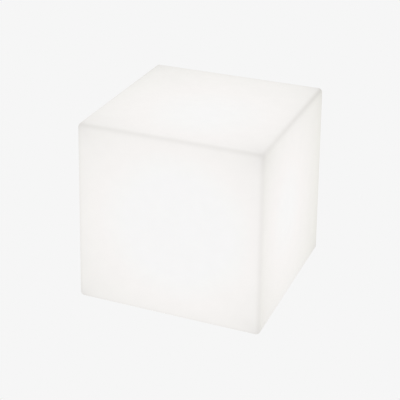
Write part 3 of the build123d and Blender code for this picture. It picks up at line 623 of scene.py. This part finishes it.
@dataclass(frozen=True, kw_only=True)
class KnurledMetal(Finish):
    """Metal with a rolled diamond knurl, with painted shade that darkens its grooves.

    Attributes:
        pitch_mm: distance between two grooves.
        metallic: 1, as on every bare metal.
        levels: heights in the knurl, 0 to 1, at which it is all its own colour and all painted
            shade.
    """

    pitch_mm: float
    metallic: float = 1.0
    levels: Pair = (0.6, 0.1)

    def wire(self, on: Wiring) -> Node:
        """Cross two sets of slanting grooves.

        Args:
            on: the nodes of its material.

        Returns:
            The crests' height, 0 to 1.
        """
        x, y, z = on.add("SeparateXYZ", on.place).outputs
        across = on.add("Math", x, y, operation="ADD")
        waves = []
        for slant in ("ADD", "SUBTRACT"):
            line = on.add("Math", z, across, operation=slant)
            waves.append(on.add("Math", line, self.pitch_mm * MM, operation="PINGPONG"))
        crest = on.add("Math", waves[0], waves[1], operation="MINIMUM")
        height = on.add("Math", crest, per_metre(self.pitch_mm), operation="MULTIPLY")
        self.tint(on, height, self.levels)
        return height


@dataclass(frozen=True, kw_only=True)
class CircuitBoard(Finish):
    """Printed board with solder mask over its copper tracks.

    The tracks show as slightly raised, paler paths under the glossy mask, in nested right-angled
    runs as a router lays them.

    Attributes:
        field_mm: width of one field of nested tracks.
        track_mm: width of a track and the space beside it. Real ones are 0.3 mm and up, and are
            drawn as power tracks of this width.
        edge: where a track's edge starts and ends, in shares of track_mm.
    """

    field_mm: float
    track_mm: float
    edge: Pair = (0.45, 0.6)

    def wire(self, on: Wiring) -> Node:
        """Lay the tracks under the mask.

        Args:
            on: the nodes of its material.

        Returns:
            The tracks' height, 0 to 1.
        """
        fields = on.add("TexVoronoi", on.sized(self.field_mm), distance="CHEBYCHEV")
        share = self.track_mm / self.field_mm
        nested = on.add("Math", fields.outputs["Distance"], share, operation="PINGPONG")
        feeds = (nested, self.edge[0] * share, self.edge[1] * share)
        tracks = on.add("MapRange", *feeds, interpolation_type="SMOOTHSTEP")
        self.tint(on, tracks, FULL)
        return tracks


@dataclass(frozen=True, kw_only=True)
class Granular(Finish):
    """Grains pressed together and fused: sintered ferrite, or foam with closed cells.

    Every grain or cell is a shade of its own, with a darker seam round it.

    Attributes:
        grain_mm: size of a grain or cell, drawn as coarse as it needs to show.
        dome: where a grain starts to fall off and where its seam is, in shares of grain_mm.
    """

    grain_mm: float
    dome: Pair = (0.2, 0.8)

    def wire(self, on: Wiring) -> Node:
        """Colour each grain and sink the seams.

        Args:
            on: the nodes of its material.

        Returns:
            The grains' height, 0 to 1.
        """
        grains = on.add("TexVoronoi", on.sized(self.grain_mm))
        shade = on.add("SeparateColor", grains.outputs["Color"]).outputs[0]
        self.tint(on, shade, FULL)
        feeds = (grains.outputs["Distance"], self.dome[0], self.dome[1], 1.0, 0.0)
        return on.add("MapRange", *feeds, interpolation_type="SMOOTHSTEP")


@dataclass(frozen=True, kw_only=True)
class ShrinkSleeve(Finish):
    """Thin PVC sleeve shrunk over a cell: glossy, with soft pulls along the cell.

    Attributes:
        pull_mm: length and width of a pull; the cells lie along x.
    """

    pull_mm: Pair

    def wire(self, on: Wiring) -> Node:
        """Stretch the sleeve's pulls along the cell.

        Args:
            on: the nodes of its material.

        Returns:
            The pulls' height, 0 to 1.
        """
        long, wide = (per_metre(size) for size in self.pull_mm)
        along = on.add("VectorMath", on.place, (long, wide, wide), operation="MULTIPLY")
        pulls = on.add("TexNoise", {"Vector": along, "Scale": 1.0, "Detail": 1.0})
        self.tint(on, pulls, STRONG_NOISE)
        return pulls


@dataclass(frozen=True, kw_only=True)
class WireSleeve(Finish):
    """Extruded silicone sleeve of a pair of leads, one of each colour.

    Silicone is limp and satin, and picks up fine dust.

    Attributes:
        pitch_mm: distance between the two leads, which lie on both sides of y = 0.
        blend: share of that distance over which one colour turns into the other.
        dust_mm: size of the specks of dust.
        dulling: for a clean sleeve and under a speck.
    """

    pitch_mm: float
    blend: float = 0.1
    dust_mm: float = 0.6
    dulling: Pair = (0.0, 0.15)

    def wire(self, on: Wiring) -> Node:
        """Colour the lead on each side and dust both.

        Args:
            on: the nodes of its material.

        Returns:
            The dust's height, 0 to 1.
        """
        y = on.add("SeparateXYZ", on.place).outputs["Y"]
        gap = self.blend * self.pitch_mm * MM
        self.tint(on, y, (-gap, gap))
        dust = on.add("TexNoise", on.sized(self.dust_mm, Detail=4.0))
        self.dull(on, dust, SPECKS)
        return dust


class Layout(Enum):
    """How LED packages are laid out."""

    COLUMN = "rows up the six sides of the core"
    ROSETTE = "one in the middle of the top and six round it"


@dataclass(frozen=True, kw_only=True)
class LedPackage(Finish):
    """White ceramic-filled LED package with a disc of yellow phosphor that shines warm white.

    Attributes:
        layout: how the packages are laid out.
        lens_mm: radius of the phosphor disc.
        rim: share of that radius inside which the disc is in full colour.
        middle_mm: height of the middle of the rows.
        pitch_mm: distance between two packages of a row.
        circle_mm: radius of the circle of the six on top.
        light: colour of its light, sRGB hex.
        strength: how brightly it shines.
    """

    layout: Layout
    lens_mm: float
    rim: float = 0.9
    middle_mm: float = 0.0
    pitch_mm: float = 1.0
    circle_mm: float = 0.0
    light: str = "#ffe9c4"
    strength: float = 4.0

    def wire(self, on: Wiring) -> Node:
        """Put a glowing disc in the middle of each package.

        Args:
            on: the nodes of its material.

        Returns:
            The disc's slight dome, 0 to 1.
        """
        x, y, z = on.add("SeparateXYZ", on.place).outputs
        flat = on.add("CombineXYZ", {"X": x, "Y": y})
        radius = on.add("VectorMath", flat, operation="LENGTH").outputs["Value"]
        bearing = on.add("Math", y, x, operation="ARCTAN2")
        # The packages lie in six equal sectors, which are folded onto one.
        half_sector = math.pi / 6
        angle = on.add("Math", bearing, half_sector, -half_sector, operation="WRAP")
        sine = on.add("Math", angle, operation="SINE")
        aside = on.add("Math", radius, sine, operation="MULTIPLY")
        if self.layout is Layout.COLUMN:
            half = self.pitch_mm / 2 * MM
            first = on.add("Math", z, self.middle_mm * MM + half, operation="SUBTRACT")
            along = on.add("Math", first, half, -half, operation="WRAP")
            local = on.add("CombineXYZ", {"X": aside, "Y": along})
            away = on.add("VectorMath", local, operation="LENGTH").outputs["Value"]
        else:
            cosine = on.add("Math", angle, operation="COSINE")
            outwards = on.add("Math", radius, cosine, operation="MULTIPLY")
            along = on.add("Math", outwards, self.circle_mm * MM, operation="SUBTRACT")
            local = on.add("CombineXYZ", {"X": aside, "Y": along})
            around = on.add("VectorMath", local, operation="LENGTH").outputs["Value"]
            away = on.add("Math", around, radius, operation="MINIMUM")
        feeds = (away, self.lens_mm * MM, self.rim * self.lens_mm * MM)
        disc = on.add("MapRange", *feeds, interpolation_type="SMOOTHSTEP")
        self.tint(on, disc, FULL)
        feeds = {"Factor": disc, COLOUR_A: linear("#000000"), COLOUR_B: linear(self.light)}
        on.add("Mix", feeds, to=on.shader.inputs["Emission Color"], data_type="RGBA")
        on.shader.inputs["Emission Strength"].default_value = self.strength
        return disc


@dataclass(frozen=True, kw_only=True)
class ClearPlastic(Finish):
    """Polished clear plastic with faint swirls of strain inside.

    Attributes:
        swirl_mm: size of the swirls.
        dulling: for the clear parts and the haziest.
    """

    swirl_mm: float
    dulling: Pair = (0.0, 0.08)

    def wire(self, on: Wiring) -> Node:
        """Let light through and haze it a little.

        Args:
            on: the nodes of its material.

        Returns:
            The swirls' height, 0 to 1.
        """
        on.shader.inputs["Transmission Weight"].default_value = 1.0
        swirl = on.add("TexNoise", on.sized(self.swirl_mm, Distortion=1.0))
        self.tint(on, swirl)
        self.dull(on, swirl)
        return swirl


@dataclass(frozen=True, kw_only=True)
class OpalCover(Finish):
    """Opal polycarbonate round the LEDs: a soft painted glow, most where the LEDs are behind it.

    Attributes:
        middle_mm: height of the middle of the LEDs.
        reach_mm: from there to where the glow has faded.
        core: share of that reach in which the glow is full.
        least: share of the glow that is left where it has faded.
        light: colour of the glow, sRGB hex.
        strength: how brightly it glows.
        haze_mm: size of the clouds in the opal.
    """

    middle_mm: float
    reach_mm: float
    core: float = 0.3
    least: float = 0.45
    light: str = "#fff4e2"
    strength: float = 2.0
    haze_mm: float = 12.0

    def wire(self, on: Wiring) -> Node:
        """Paint the cover's glow by height.

        Args:
            on: the nodes of its material.

        Returns:
            The clouds' height, 0 to 1.
        """
        haze = on.add("TexNoise", on.sized(self.haze_mm))
        self.tint(on, haze)
        z = on.add("SeparateXYZ", on.place).outputs["Z"]
        above = on.add("Math", z, self.middle_mm * MM, operation="SUBTRACT")
        away = on.add("Math", above, operation="ABSOLUTE")
        reach = self.reach_mm * MM
        feeds = (away, self.core * reach, reach, 1.0, self.least)
        fade = on.add("MapRange", *feeds, interpolation_type="SMOOTHSTEP")
        feeds = {"Vector": linear(self.light)[:3], "Scale": fade}
        on.add("VectorMath", feeds, to=on.shader.inputs["Emission Color"], operation="SCALE")
        on.shader.inputs["Emission Strength"].default_value = self.strength
        return haze


@functools.cache
def material_of(finish: Finish) -> bpy.types.Material:
    """The material of a finish, built once however many pieces share it."""
    return finish.material()


# Finishes that several sub-assemblies share.
# Cold-headed and tumbled: even and bright, with small soft dents.
STAINLESS = WorkedMetal("tumbled stainless steel", "#bcbbb8", "#d3d2cf", 0.28, grain=Grain.TUMBLED)
# Drawn wire, hardened: a little darker than the screws.
SPRING_STEEL = WorkedMetal("drawn spring steel", "#aeadab", "#cbcac8", 0.3, grain=Grain.TUMBLED)
# Spark-eroded tool: an even off-white with a soft sheen.
WHITE_ABS = MouldedPlastic("injection-moulded white ABS", "#e8e7e2", "#eeede9", 0.5, ior=1.54)
# Unfilled and translucent, so it is pale grey with a dull skin.
SILICONE = Elastomer("compression-moulded silicone", "#c9c9c5", "#d8d8d4", 0.62, ior=1.41)
# Glass-filled and dark, from a polished tool: small parts with a low gloss.
BLACK_PBT = MouldedPlastic("injection-moulded black PBT", "#1c1c1d", "#262627", 0.42, grit_mm=0.8)
# Unfilled nylon: warm white and waxy.
WHITE_NYLON = MouldedPlastic("injection-moulded white nylon", "#ece9df", "#f2f0e8", 0.44, ior=1.53)
# Limp, satin sleeves: black on one side and red on the other.
LEAD_SLEEVE = WireSleeve(
    "extruded silicone sleeve", "#161617", "#b3221e", 0.5, ior=1.41, pitch_mm=4.0
)


# ---- Sub-assemblies ----------------------------------------------------------------------------
@dataclass
class SubAssembly:
    """Pieces that belong together, each with its finish."""

    def finishes(self) -> dict[str, Finish]:
        """Each CAD node's finish, by the node's name."""
        raise NotImplementedError

    def dress(self, nodes: dict[str, bpy.types.Object]) -> None:
        """Give every piece its finish.

        Args:
            nodes: the frame's CAD objects that have no finish yet, by name; those dressed here
                are taken out.
        """
        for name, finish in self.finishes().items():
            piece = nodes.pop(name)
            for slot in piece.material_slots:
                slot.material = material_of(finish)


@dataclass
class DiffuserShell(SubAssembly):
    """The glowing cube itself.

    Attributes:
        top_width_mm: across its top.
        height_mm: from its foot to its top.
        foot_mm: how high it stands on its rubber feet.
        draft_degrees: slope of each side.
        unit_mm: radius of the lamp unit in its floor.
    """

    top_width_mm: float = 394.0
    height_mm: float = 398.0
    foot_mm: float = 2.0
    draft_degrees: float = 1.0
    unit_mm: float = 70.0

    def finishes(self) -> dict[str, Finish]:
        """Fit the shell's one finish to its size.

        Returns:
            Each CAD node's finish, by the node's name.
        """
        # Milky and satin, so it mirrors nothing; its painted glow looks like lit paper.
        wall = LitPolyethylene(
            "rotomoulded milky polyethylene",
            "#cbcbcb",
            "#cdcdcd",
            roughness=0.55,
            ior=1.51,
            half_width_mm=self.top_width_mm / 2,
            bottom_mm=self.foot_mm,
            top_mm=self.foot_mm + self.height_mm,
            draft=math.tan(math.radians(self.draft_degrees)),
            unit_mm=self.unit_mm,
        )
        return {"diffuser_shell": wall}


@dataclass
class Underside(SubAssembly):
    """What closes the recess under the cube: feet, housing, its gasket, screws and inserts.

    Attributes:
        knurl_mm: pitch of the knurl on the brass inserts.
        housing_grit_mm: grit drawn on the housing.
    """

    knurl_mm: float = 0.8
    housing_grit_mm: float = 1.6

    def finishes(self) -> dict[str, Finish]:
        """Choose the finishes round the recess.

        Returns:
            Each CAD node's finish, by the node's name.
        """
        # A coarser grit than the other mouldings', which keeps the wide disc from shining.
        housing = MouldedPlastic(
            "textured white ABS", "#e6e5e2", "#e9e8e5", 0.52, ior=1.54, grit_mm=self.housing_grit_mm
        )
        # Carbon-free grey rubber: matt, with a pale bloom where it has stood outdoors.
        rubber = Elastomer("compression-moulded grey rubber", "#8b8b8d", "#a3a3a3", 0.85, ior=1.52)
        # Yellow brass on the crests of the knurl, and painted shade that turns its grooves brown.
        brass = KnurledMetal(
            "knurled brass", "#d8b56a", "#a8813c", 0.3, relief_mm=0.3, pitch_mm=self.knurl_mm
        )
        return {
            "rubber_feet": rubber,
            "threaded_inserts": brass,
            "base_screws": STAINLESS,
            "base_gasket": SILICONE,
            "base_housing": housing,
        }


@dataclass
class PowerButton(SubAssembly):
    """The push button and the switch behind it.

    The spring between the button's collar and the switch is built again as a coil of its own,
    because it shortens as the button goes in.

    Attributes:
        button_x_mm: where the button's middle is, along x.
        mark_mm: radius of the power mark's ring.
        travel_mm: how far the button goes in; not used.
        coil_mm: radius of the spring, to the middle of its wire.
        wire_mm: radius of the wire.
        spring_mm: heights of the spring's lower and upper ends.
        turns: turns of the spring.
        turn_steps: sections of the mesh in one turn.
        wire_sides: sides of the wire's round section in the mesh.
    """

    button_x_mm: float = 24.0
    mark_mm: float = 2.9
    travel_mm: float = 2.0
    coil_mm: float = 3.4
    wire_mm: float = 0.2
    spring_mm: Pair = (17.55, 21.45)
    turns: int = 3
    turn_steps: int = 32
    wire_sides: int = 12

    def finishes(self) -> dict[str, Finish]:
        """Choose the finishes of the button and its switch.

        Returns:
            Each CAD node's finish, by the node's name.
        """
        # Mid grey, which sets the button off from the white housing, under a pale printed mark.
        cap = MarkedPlastic(
            "printed grey ABS", "#aeb0b3", "#b6b8ba", 0.45, ior=1.54, mark="#f1f1f1",
            middle_mm=self.button_x_mm, ring_mm=self.mark_mm,
        )
        return {
            "power_button": cap,
            "button_seal": SILICONE,
            "button_spring": SPRING_STEEL,
            "switch_plunger": BLACK_PBT,
            "switch_body": BLACK_PBT,
        }

    def dress(self, nodes: dict[str, bpy.types.Object]) -> None:
        """Dress the pieces, and put in the spring, built again as a coil of its own.

        Args:
            nodes: the frame's CAD objects that have no finish yet, by name; those dressed here
                are taken out.
        """
        super().dress(nodes)
        spring = self.coil()
        spring.data.materials.append(material_of(SPRING_STEEL))
        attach(spring, "cube")
        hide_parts("button_spring")
        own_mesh(spring)
        log.info("%s: %s, on body cube", spring.name, SPRING_STEEL.name)

    def coil(self) -> bpy.types.Object:
        """Sweep the wire's round section along a helix and close its two ends.

        Returns:
            The spring.
        """
        low, high = (height * MM for height in self.spring_mm)
        radius, wire = self.coil_mm * MM, self.wire_mm * MM
        steps, sides = self.turn_steps * self.turns, self.wire_sides
        rise = (high - low - 2 * wire) / steps
        run = 2 * math.pi * radius * self.turns / steps
        mesh = bmesh.new()
        rings = []
        for step in range(steps + 1):
            turn = 2 * math.pi * self.turns * step / steps
            outwards = Vector((math.cos(turn), math.sin(turn), 0.0))
            ahead = Vector((-math.sin(turn) * run, math.cos(turn) * run, rise)).normalized()
            upwards = outwards.cross(ahead)
            middle = Vector((self.button_x_mm * MM, 0.0, low + wire + rise * step))
            middle += outwards * radius
            ring = []
            for side in range(sides):
                angle = 2 * math.pi * side / sides
                offset = outwards * math.cos(angle) + upwards * math.sin(angle)
                ring.append(mesh.verts.new(middle + offset * wire))
            rings.append(ring)
        for here, there in zip(rings, rings[1:]):
            for side in range(sides):
                after = (side + 1) % sides
                mesh.faces.new((here[side], here[after], there[after], there[side]))
        mesh.faces.new(rings[0])
        mesh.faces.new(rings[-1])
        bmesh.ops.recalc_face_normals(mesh, faces=mesh.faces)
        data = bpy.data.meshes.new("button_spring_coil")
        mesh.to_mesh(data)
        mesh.free()
        data.shade_smooth()
        spring = bpy.data.objects.new("button_spring_coil", data)
        bpy.context.scene.collection.objects.link(spring)
        return spring


@dataclass
class ChargingPort(SubAssembly):
    """The hinged cover and the charging socket behind it.

    Attributes:
        cover_grit_mm: grit drawn on the cover.
    """

    cover_grit_mm: float = 1.2

    def finishes(self) -> dict[str, Finish]:
        """Choose the finishes of the cover and the socket.

        Returns:
            Each CAD node's finish, by the node's name.
        """
        # Mid grey, which sets the cover off from the white housing, with a visible grit.
        cover = MouldedPlastic(
            "textured grey ABS", "#a9abae", "#b4b6b8", 0.48, ior=1.54, grit_mm=self.cover_grit_mm
        )
        # Pressed from strip and plated: bright and faintly mottled.
        plated = WorkedMetal(
            "nickel-plated pressed steel", "#c3c0ba", "#d6d4cf", 0.22, grain=Grain.PLATED
        )
        return {
            "port_cover": cover,
            "port_cover_seal": SILICONE,
            "port_hinge_pin": STAINLESS,
            "charge_socket": plated,
            "charge_socket_tongue": BLACK_PBT,
        }


@dataclass
class Indicator(SubAssembly):
    """The light pipe and the small LED above it.

    Attributes:
        swirl_mm: size of the swirls in both.
    """

    swirl_mm: float = 1.5

    def finishes(self) -> dict[str, Finish]:
        """Choose the finishes of the pipe and the LED.

        Returns:
            Each CAD node's finish, by the node's name.
        """
        # Polished and clear, with a cool edge.
        pipe = ClearPlastic(
            "polished clear polycarbonate", "#eef3f4", "#ffffff", 0.05, ior=1.585,
            swirl_mm=self.swirl_mm,
        )
        # Cast over the chip: clear with a faint green tint.
        lens = ClearPlastic(
            "cast clear epoxy", "#d5ecd5", "#e9f6e8", 0.1, ior=1.55, swirl_mm=self.swirl_mm
        )
        return {"indicator_light_pipe": pipe, "indicator_led": lens}


@dataclass
class ControlBoard(SubAssembly):
    """The driver board with its components.

    Attributes:
        field_mm: width of one field of tracks.
        track_mm: width of a power track.
        ferrite_mm: size of the grains drawn on the inductor.
    """

    field_mm: float = 9.0
    track_mm: float = 0.8
    ferrite_mm: float = 0.7

    def finishes(self) -> dict[str, Finish]:
        """Choose the finishes of the board and its components.

        Returns:
            Each CAD node's finish, by the node's name.
        """
        # Glossy green mask on glass epoxy; the copper under it shows as a yellower green.
        board = CircuitBoard(
            "glass-epoxy board with green solder mask", "#0d4a26", "#1c6b39", 0.3, ior=1.55,
            relief_mm=0.05, field_mm=self.field_mm, track_mm=self.track_mm,
        )
        # Filled with ground quartz: dull black, without any gloss of its own.
        epoxy = MouldedPlastic("moulded black epoxy", "#202022", "#2b2b2d", 0.6, ior=1.56)
        # Pressed and fired: charcoal, with a dull glint from its dense grains.
        ferrite = Granular(
            "sintered ferrite", "#262524", "#3b3937", 0.55, ior=2.2, relief_mm=0.04,
            grain_mm=self.ferrite_mm,
        )
        # Impact-drawn cans: fine lines up the wall.
        can = WorkedMetal("drawn aluminium can", "#b9bcc1", "#d0d2d6", 0.3, grain=Grain.EXTRUDED)
        return {
            "control_board": board,
            "board_screws": STAINLESS,
            "driver_chips": epoxy,
            "power_inductor": ferrite,
            "filter_capacitors": can,
            "battery_connector": WHITE_NYLON,
            "lamp_connector": WHITE_NYLON,
        }


@dataclass
class BatteryPack(SubAssembly):
    """The two cells on their tray, with their clamp and guard board.

    Attributes:
        pull_mm: length and width of the pulls in the cells' sleeves.
        foam_mm: size of the foam's cells.
        field_mm: width of one field of tracks on the guard board.
        track_mm: width of a track on the guard board.
    """

    pull_mm: Pair = (22.0, 2.4)
    foam_mm: float = 0.9
    field_mm: float = 5.0
    track_mm: float = 0.6

    def finishes(self) -> dict[str, Finish]:
        """Choose the finishes of the cells and what holds them.

        Returns:
            Each CAD node's finish, by the node's name.
        """
        # Shrunk tight over the can: glossy blue, with soft waves along the cell.
        sleeve = ShrinkSleeve(
            "blue PVC shrink sleeve", "#2a62a0", "#3470b0", 0.3, ior=1.53, relief_mm=0.08,
            pull_mm=self.pull_mm,
        )
        # Cold-rolled: a warm silver with straight streaks along the strip.
        strip = WorkedMetal("rolled nickel strip", "#b8b3a9", "#d0ccc3", 0.3, grain=Grain.ROLLED)
        # The driver board's green mask, with finer tracks under it.
        guard = CircuitBoard(
            "thin glass-epoxy board with green solder mask", "#0e4a2a", "#1f6d3e", 0.32, ior=1.55,
            relief_mm=0.05, field_mm=self.field_mm, track_mm=self.track_mm,
        )
        # Cut through its cells: black and quite without gloss.
        foam = Granular(
            "closed-cell polyethylene foam", "#2a2a2b", "#3d3d3e", 0.9, ior=1.4, relief_mm=0.25,
            grain_mm=self.foam_mm,
        )
        return {
            "battery_tray": WHITE_ABS,
            "tray_screws": STAINLESS,
            "battery_cells": sleeve,
            "cell_tabs": strip,
            "battery_guard_board": guard,
            "battery_clamp": strip,
            "battery_clamp_pad": foam,
            "battery_clamp_screws": STAINLESS,
            "battery_leads": LEAD_SLEEVE,
        }


@dataclass
class Deck(SubAssembly):
    """The plate that closes the housing and carries the lamp, and the leads through it.

    Attributes:
        lead_pitch_mm: distance between the two lamp leads.
    """

    lead_pitch_mm: float = 4.0

    def finishes(self) -> dict[str, Finish]:
        """Choose the finishes of the deck and what goes through it.

        Returns:
            Each CAD node's finish, by the node's name.
        """
        # As it comes from the mill: pale silver with long straight streaks.
        plate = WorkedMetal(
            "rolled aluminium plate", "#c4c5c7", "#dadbdc", 0.36, grain=Grain.ROLLED
        )
        return {
            "deck_seal": SILICONE,
            "deck_plate": plate,
            "deck_screws": STAINLESS,
            "lamp_leads": replace(LEAD_SLEEVE, pitch_mm=self.lead_pitch_mm),
            "lead_grommet": SILICONE,
        }


@dataclass
class LampColumn(SubAssembly):
    """The post, the six-sided core and its boards of LEDs.

    Attributes:
        middle_mm: height of the middle of the rows of LEDs.
        pitch_mm: distance between two LEDs of a row.
        circle_mm: radius of the circle of LEDs on the top board.
        lens_mm: radius of an LED's phosphor disc.
        field_mm: width of one field of tracks on the boards.
        track_mm: width of a track on the boards.
    """

    middle_mm: float = 201.0
    pitch_mm: float = 15.0
    circle_mm: float = 8.5
    lens_mm: float = 1.9
    field_mm: float = 7.0
    track_mm: float = 1.6

    def finishes(self) -> dict[str, Finish]:
        """Choose the finishes of the post, the core and the LEDs.

        Returns:
            Each CAD node's finish, by the node's name.
        """
        # Turned on a lathe: bright, with fine rings that draw its highlights up the post.
        post = WorkedMetal("turned aluminium", "#c6c7c9", "#dcdddd", 0.25, grain=Grain.TURNED)
        # Pushed through a die: satin, with lines up the whole section.
        core = WorkedMetal("extruded aluminium", "#c3c4c6", "#d9dadb", 0.34, grain=Grain.EXTRUDED)
        # White mask that sends the LEDs' light outwards, over wide fields of copper.
        board = CircuitBoard(
            "aluminium-core board with white solder mask", "#efefec", "#f7f7f5", 0.35, ior=1.55,
            relief_mm=0.04, field_mm=self.field_mm, track_mm=self.track_mm,
        )
        # Pale satin packages, each with a disc of phosphor that glows warm white.
        rows = LedPackage(
            "moulded LED package with yellow phosphor, in rows", "#f2f0ea", "#f4d873", 0.4,
            ior=1.55, layout=Layout.COLUMN, lens_mm=self.lens_mm, middle_mm=self.middle_mm,
            pitch_mm=self.pitch_mm,
        )
        rosette = LedPackage(
            "moulded LED package with yellow phosphor, in a circle", "#f2f0ea", "#f4d873", 0.4,
            ior=1.55, layout=Layout.ROSETTE, lens_mm=self.lens_mm, circle_mm=self.circle_mm,
        )
        # Dipped in solder: bright, soft and slightly mottled.
        tinned = WorkedMetal("tinned copper wire", "#bdbbb6", "#d6d4d0", 0.3, grain=Grain.PLATED)
        return {
            "lamp_post": post,
            "lamp_post_screws": STAINLESS,
            "led_core": core,
            "core_set_screws": STAINLESS,
            "side_led_boards": board,
            "side_board_screws": STAINLESS,
            "side_leds": rows,
            "top_led_board": board,
            "top_board_screws": STAINLESS,
            "top_leds": rosette,
            "board_jumpers": tinned,
        }


@dataclass
class InnerDiffuser(SubAssembly):
    """The opal cover over the LEDs, with its seal and the ring that holds it down.

    Attributes:
        middle_mm: height of the middle of the LEDs behind it.
        reach_mm: from there to where its glow has faded.
    """

    middle_mm: float = 201.0
    reach_mm: float = 110.0

    def finishes(self) -> dict[str, Finish]:
        """Choose the finishes of the cover and its ring.

        Returns:
            Each CAD node's finish, by the node's name.
        """
        # Filled and blow-moulded: a smooth milky skin that hides each single LED.
        opal = OpalCover(
            "blow-moulded opal polycarbonate", "#f0efec", "#f7f6f3", 0.35, ior=1.585,
            middle_mm=self.middle_mm, reach_mm=self.reach_mm,
        )
        return {
            "lamp_diffuser": opal,
            "diffuser_seal": SILICONE,
            "diffuser_clamp_ring": WHITE_ABS,
            "clamp_ring_screws": STAINLESS,
        }


# ---- Studio ------------------------------------------------------------------------------------
@dataclass
class Studio:
    """Pale floor and even light all round, as in a light tent.

    Attributes:
        white: the photograph's background, sRGB hex.
        floor_size: side of the floor.
    """

    white: str = "#f6f6f6"
    floor_size: float = 60.0

    def build(self) -> None:
        """Make the surroundings and the floor."""
        scene = bpy.context.scene
        scene.view_settings.view_transform = "Standard"
        scene.view_settings.look = "None"
        world = bpy.data.worlds.new("even studio light")
        world.use_nodes = True
        background = next(node for node in world.node_tree.nodes if node.type == "BACKGROUND")
        background.inputs["Color"].default_value = linear(self.white)
        scene.world = world
        self.floor()

    def floor(self) -> bpy.types.Object:
        """Make the floor, which is lit as evenly as the background and can't be seen from below.

        Returns:
            The floor.
        """
        half = self.floor_size / 2
        mesh = bpy.data.meshes.new("floor")
        corners = [(-half, -half, 0), (half, -half, 0), (half, half, 0), (-half, half, 0)]
        mesh.from_pydata(corners, [], [(0, 1, 2, 3)])
        floor = bpy.data.objects.new("floor", mesh)
        bpy.context.scene.collection.objects.link(floor)
        # Matt white paper in light so even that it shows no shadow, horizon or fold.
        paper = Wiring("pale studio paper")
        light = paper.add("Emission", {"Color": linear(self.white), "Strength": 1.0})
        clear = paper.add("BsdfTransparent")
        below = paper.add("NewGeometry").outputs["Backfacing"]
        paper.add("MixShader", below, light, clear, to=paper.surface)
        mesh.materials.append(paper.material)
        return floor


@dataclass
class ProductCamera:
    """Camera of the photograph, above the cube and round to the right of its front.

    Attributes:
        sensor_mm: width of its sensor.
        focal_mm: its focal length.
        azimuth: how far it stands round to the right, in degrees.
        elevation: how far it looks down, in degrees.
        roll: how far it leans, in degrees.
        distance: from the middle of the cube.
        aside: how far it is moved to its right.
        raised: how far it is moved up.
        target: middle of the cube.
    """

    sensor_mm: float = 36.0
    focal_mm: float = 97.84
    azimuth: float = 21.77
    elevation: float = 26.37
    roll: float = 0.691
    distance: float = 2.3465
    aside: float = -0.00896
    raised: float = -0.02014
    target: Triple = (0.0, 0.0, 0.201)

    def build(self) -> None:
        """Place the camera and make it the scene's own."""
        azimuth, elevation = math.radians(self.azimuth), math.radians(self.elevation)
        ahead = Vector((math.sin(azimuth), -math.cos(azimuth), 0.0))
        back = ahead * math.cos(elevation) + Vector((0.0, 0.0, math.sin(elevation)))
        level = Vector((math.cos(azimuth), math.sin(azimuth), 0.0))
        upright = back.cross(level)
        lean = math.radians(self.roll)
        right = level * math.cos(lean) + upright * math.sin(lean)
        up = upright * math.cos(lean) - level * math.sin(lean)
        place = Vector(self.target) + back * self.distance + right * self.aside + up * self.raised
        lens = bpy.data.cameras.new("camera")
        lens.sensor_width = self.sensor_mm
        lens.lens = self.focal_mm
        camera = bpy.data.objects.new("camera", lens)
        bpy.context.scene.collection.objects.link(camera)
        turn = Matrix((right, up, back)).transposed().to_4x4()
        camera.matrix_world = Matrix.Translation(place) @ turn
        bpy.context.scene.camera = camera


def main() -> None:
    """Load the frame, dress every piece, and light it."""
    logging.basicConfig(level=logging.INFO, format="%(name)s %(message)s", stream=sys.stdout)
    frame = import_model()
    nodes = dict(frame["nodes"])
    sub_assemblies = (
        DiffuserShell(),
        Underside(),
        PowerButton(),
        ChargingPort(),
        Indicator(),
        ControlBoard(),
        BatteryPack(),
        Deck(),
        LampColumn(),
        InnerDiffuser(),
    )
    for part in sub_assemblies:
        part.dress(nodes)
    if nodes:
        raise ValueError(f"pieces without a finish: {sorted(nodes)}")
    Studio().build()
    ProductCamera().build()


if __name__ == "__main__":
    main()
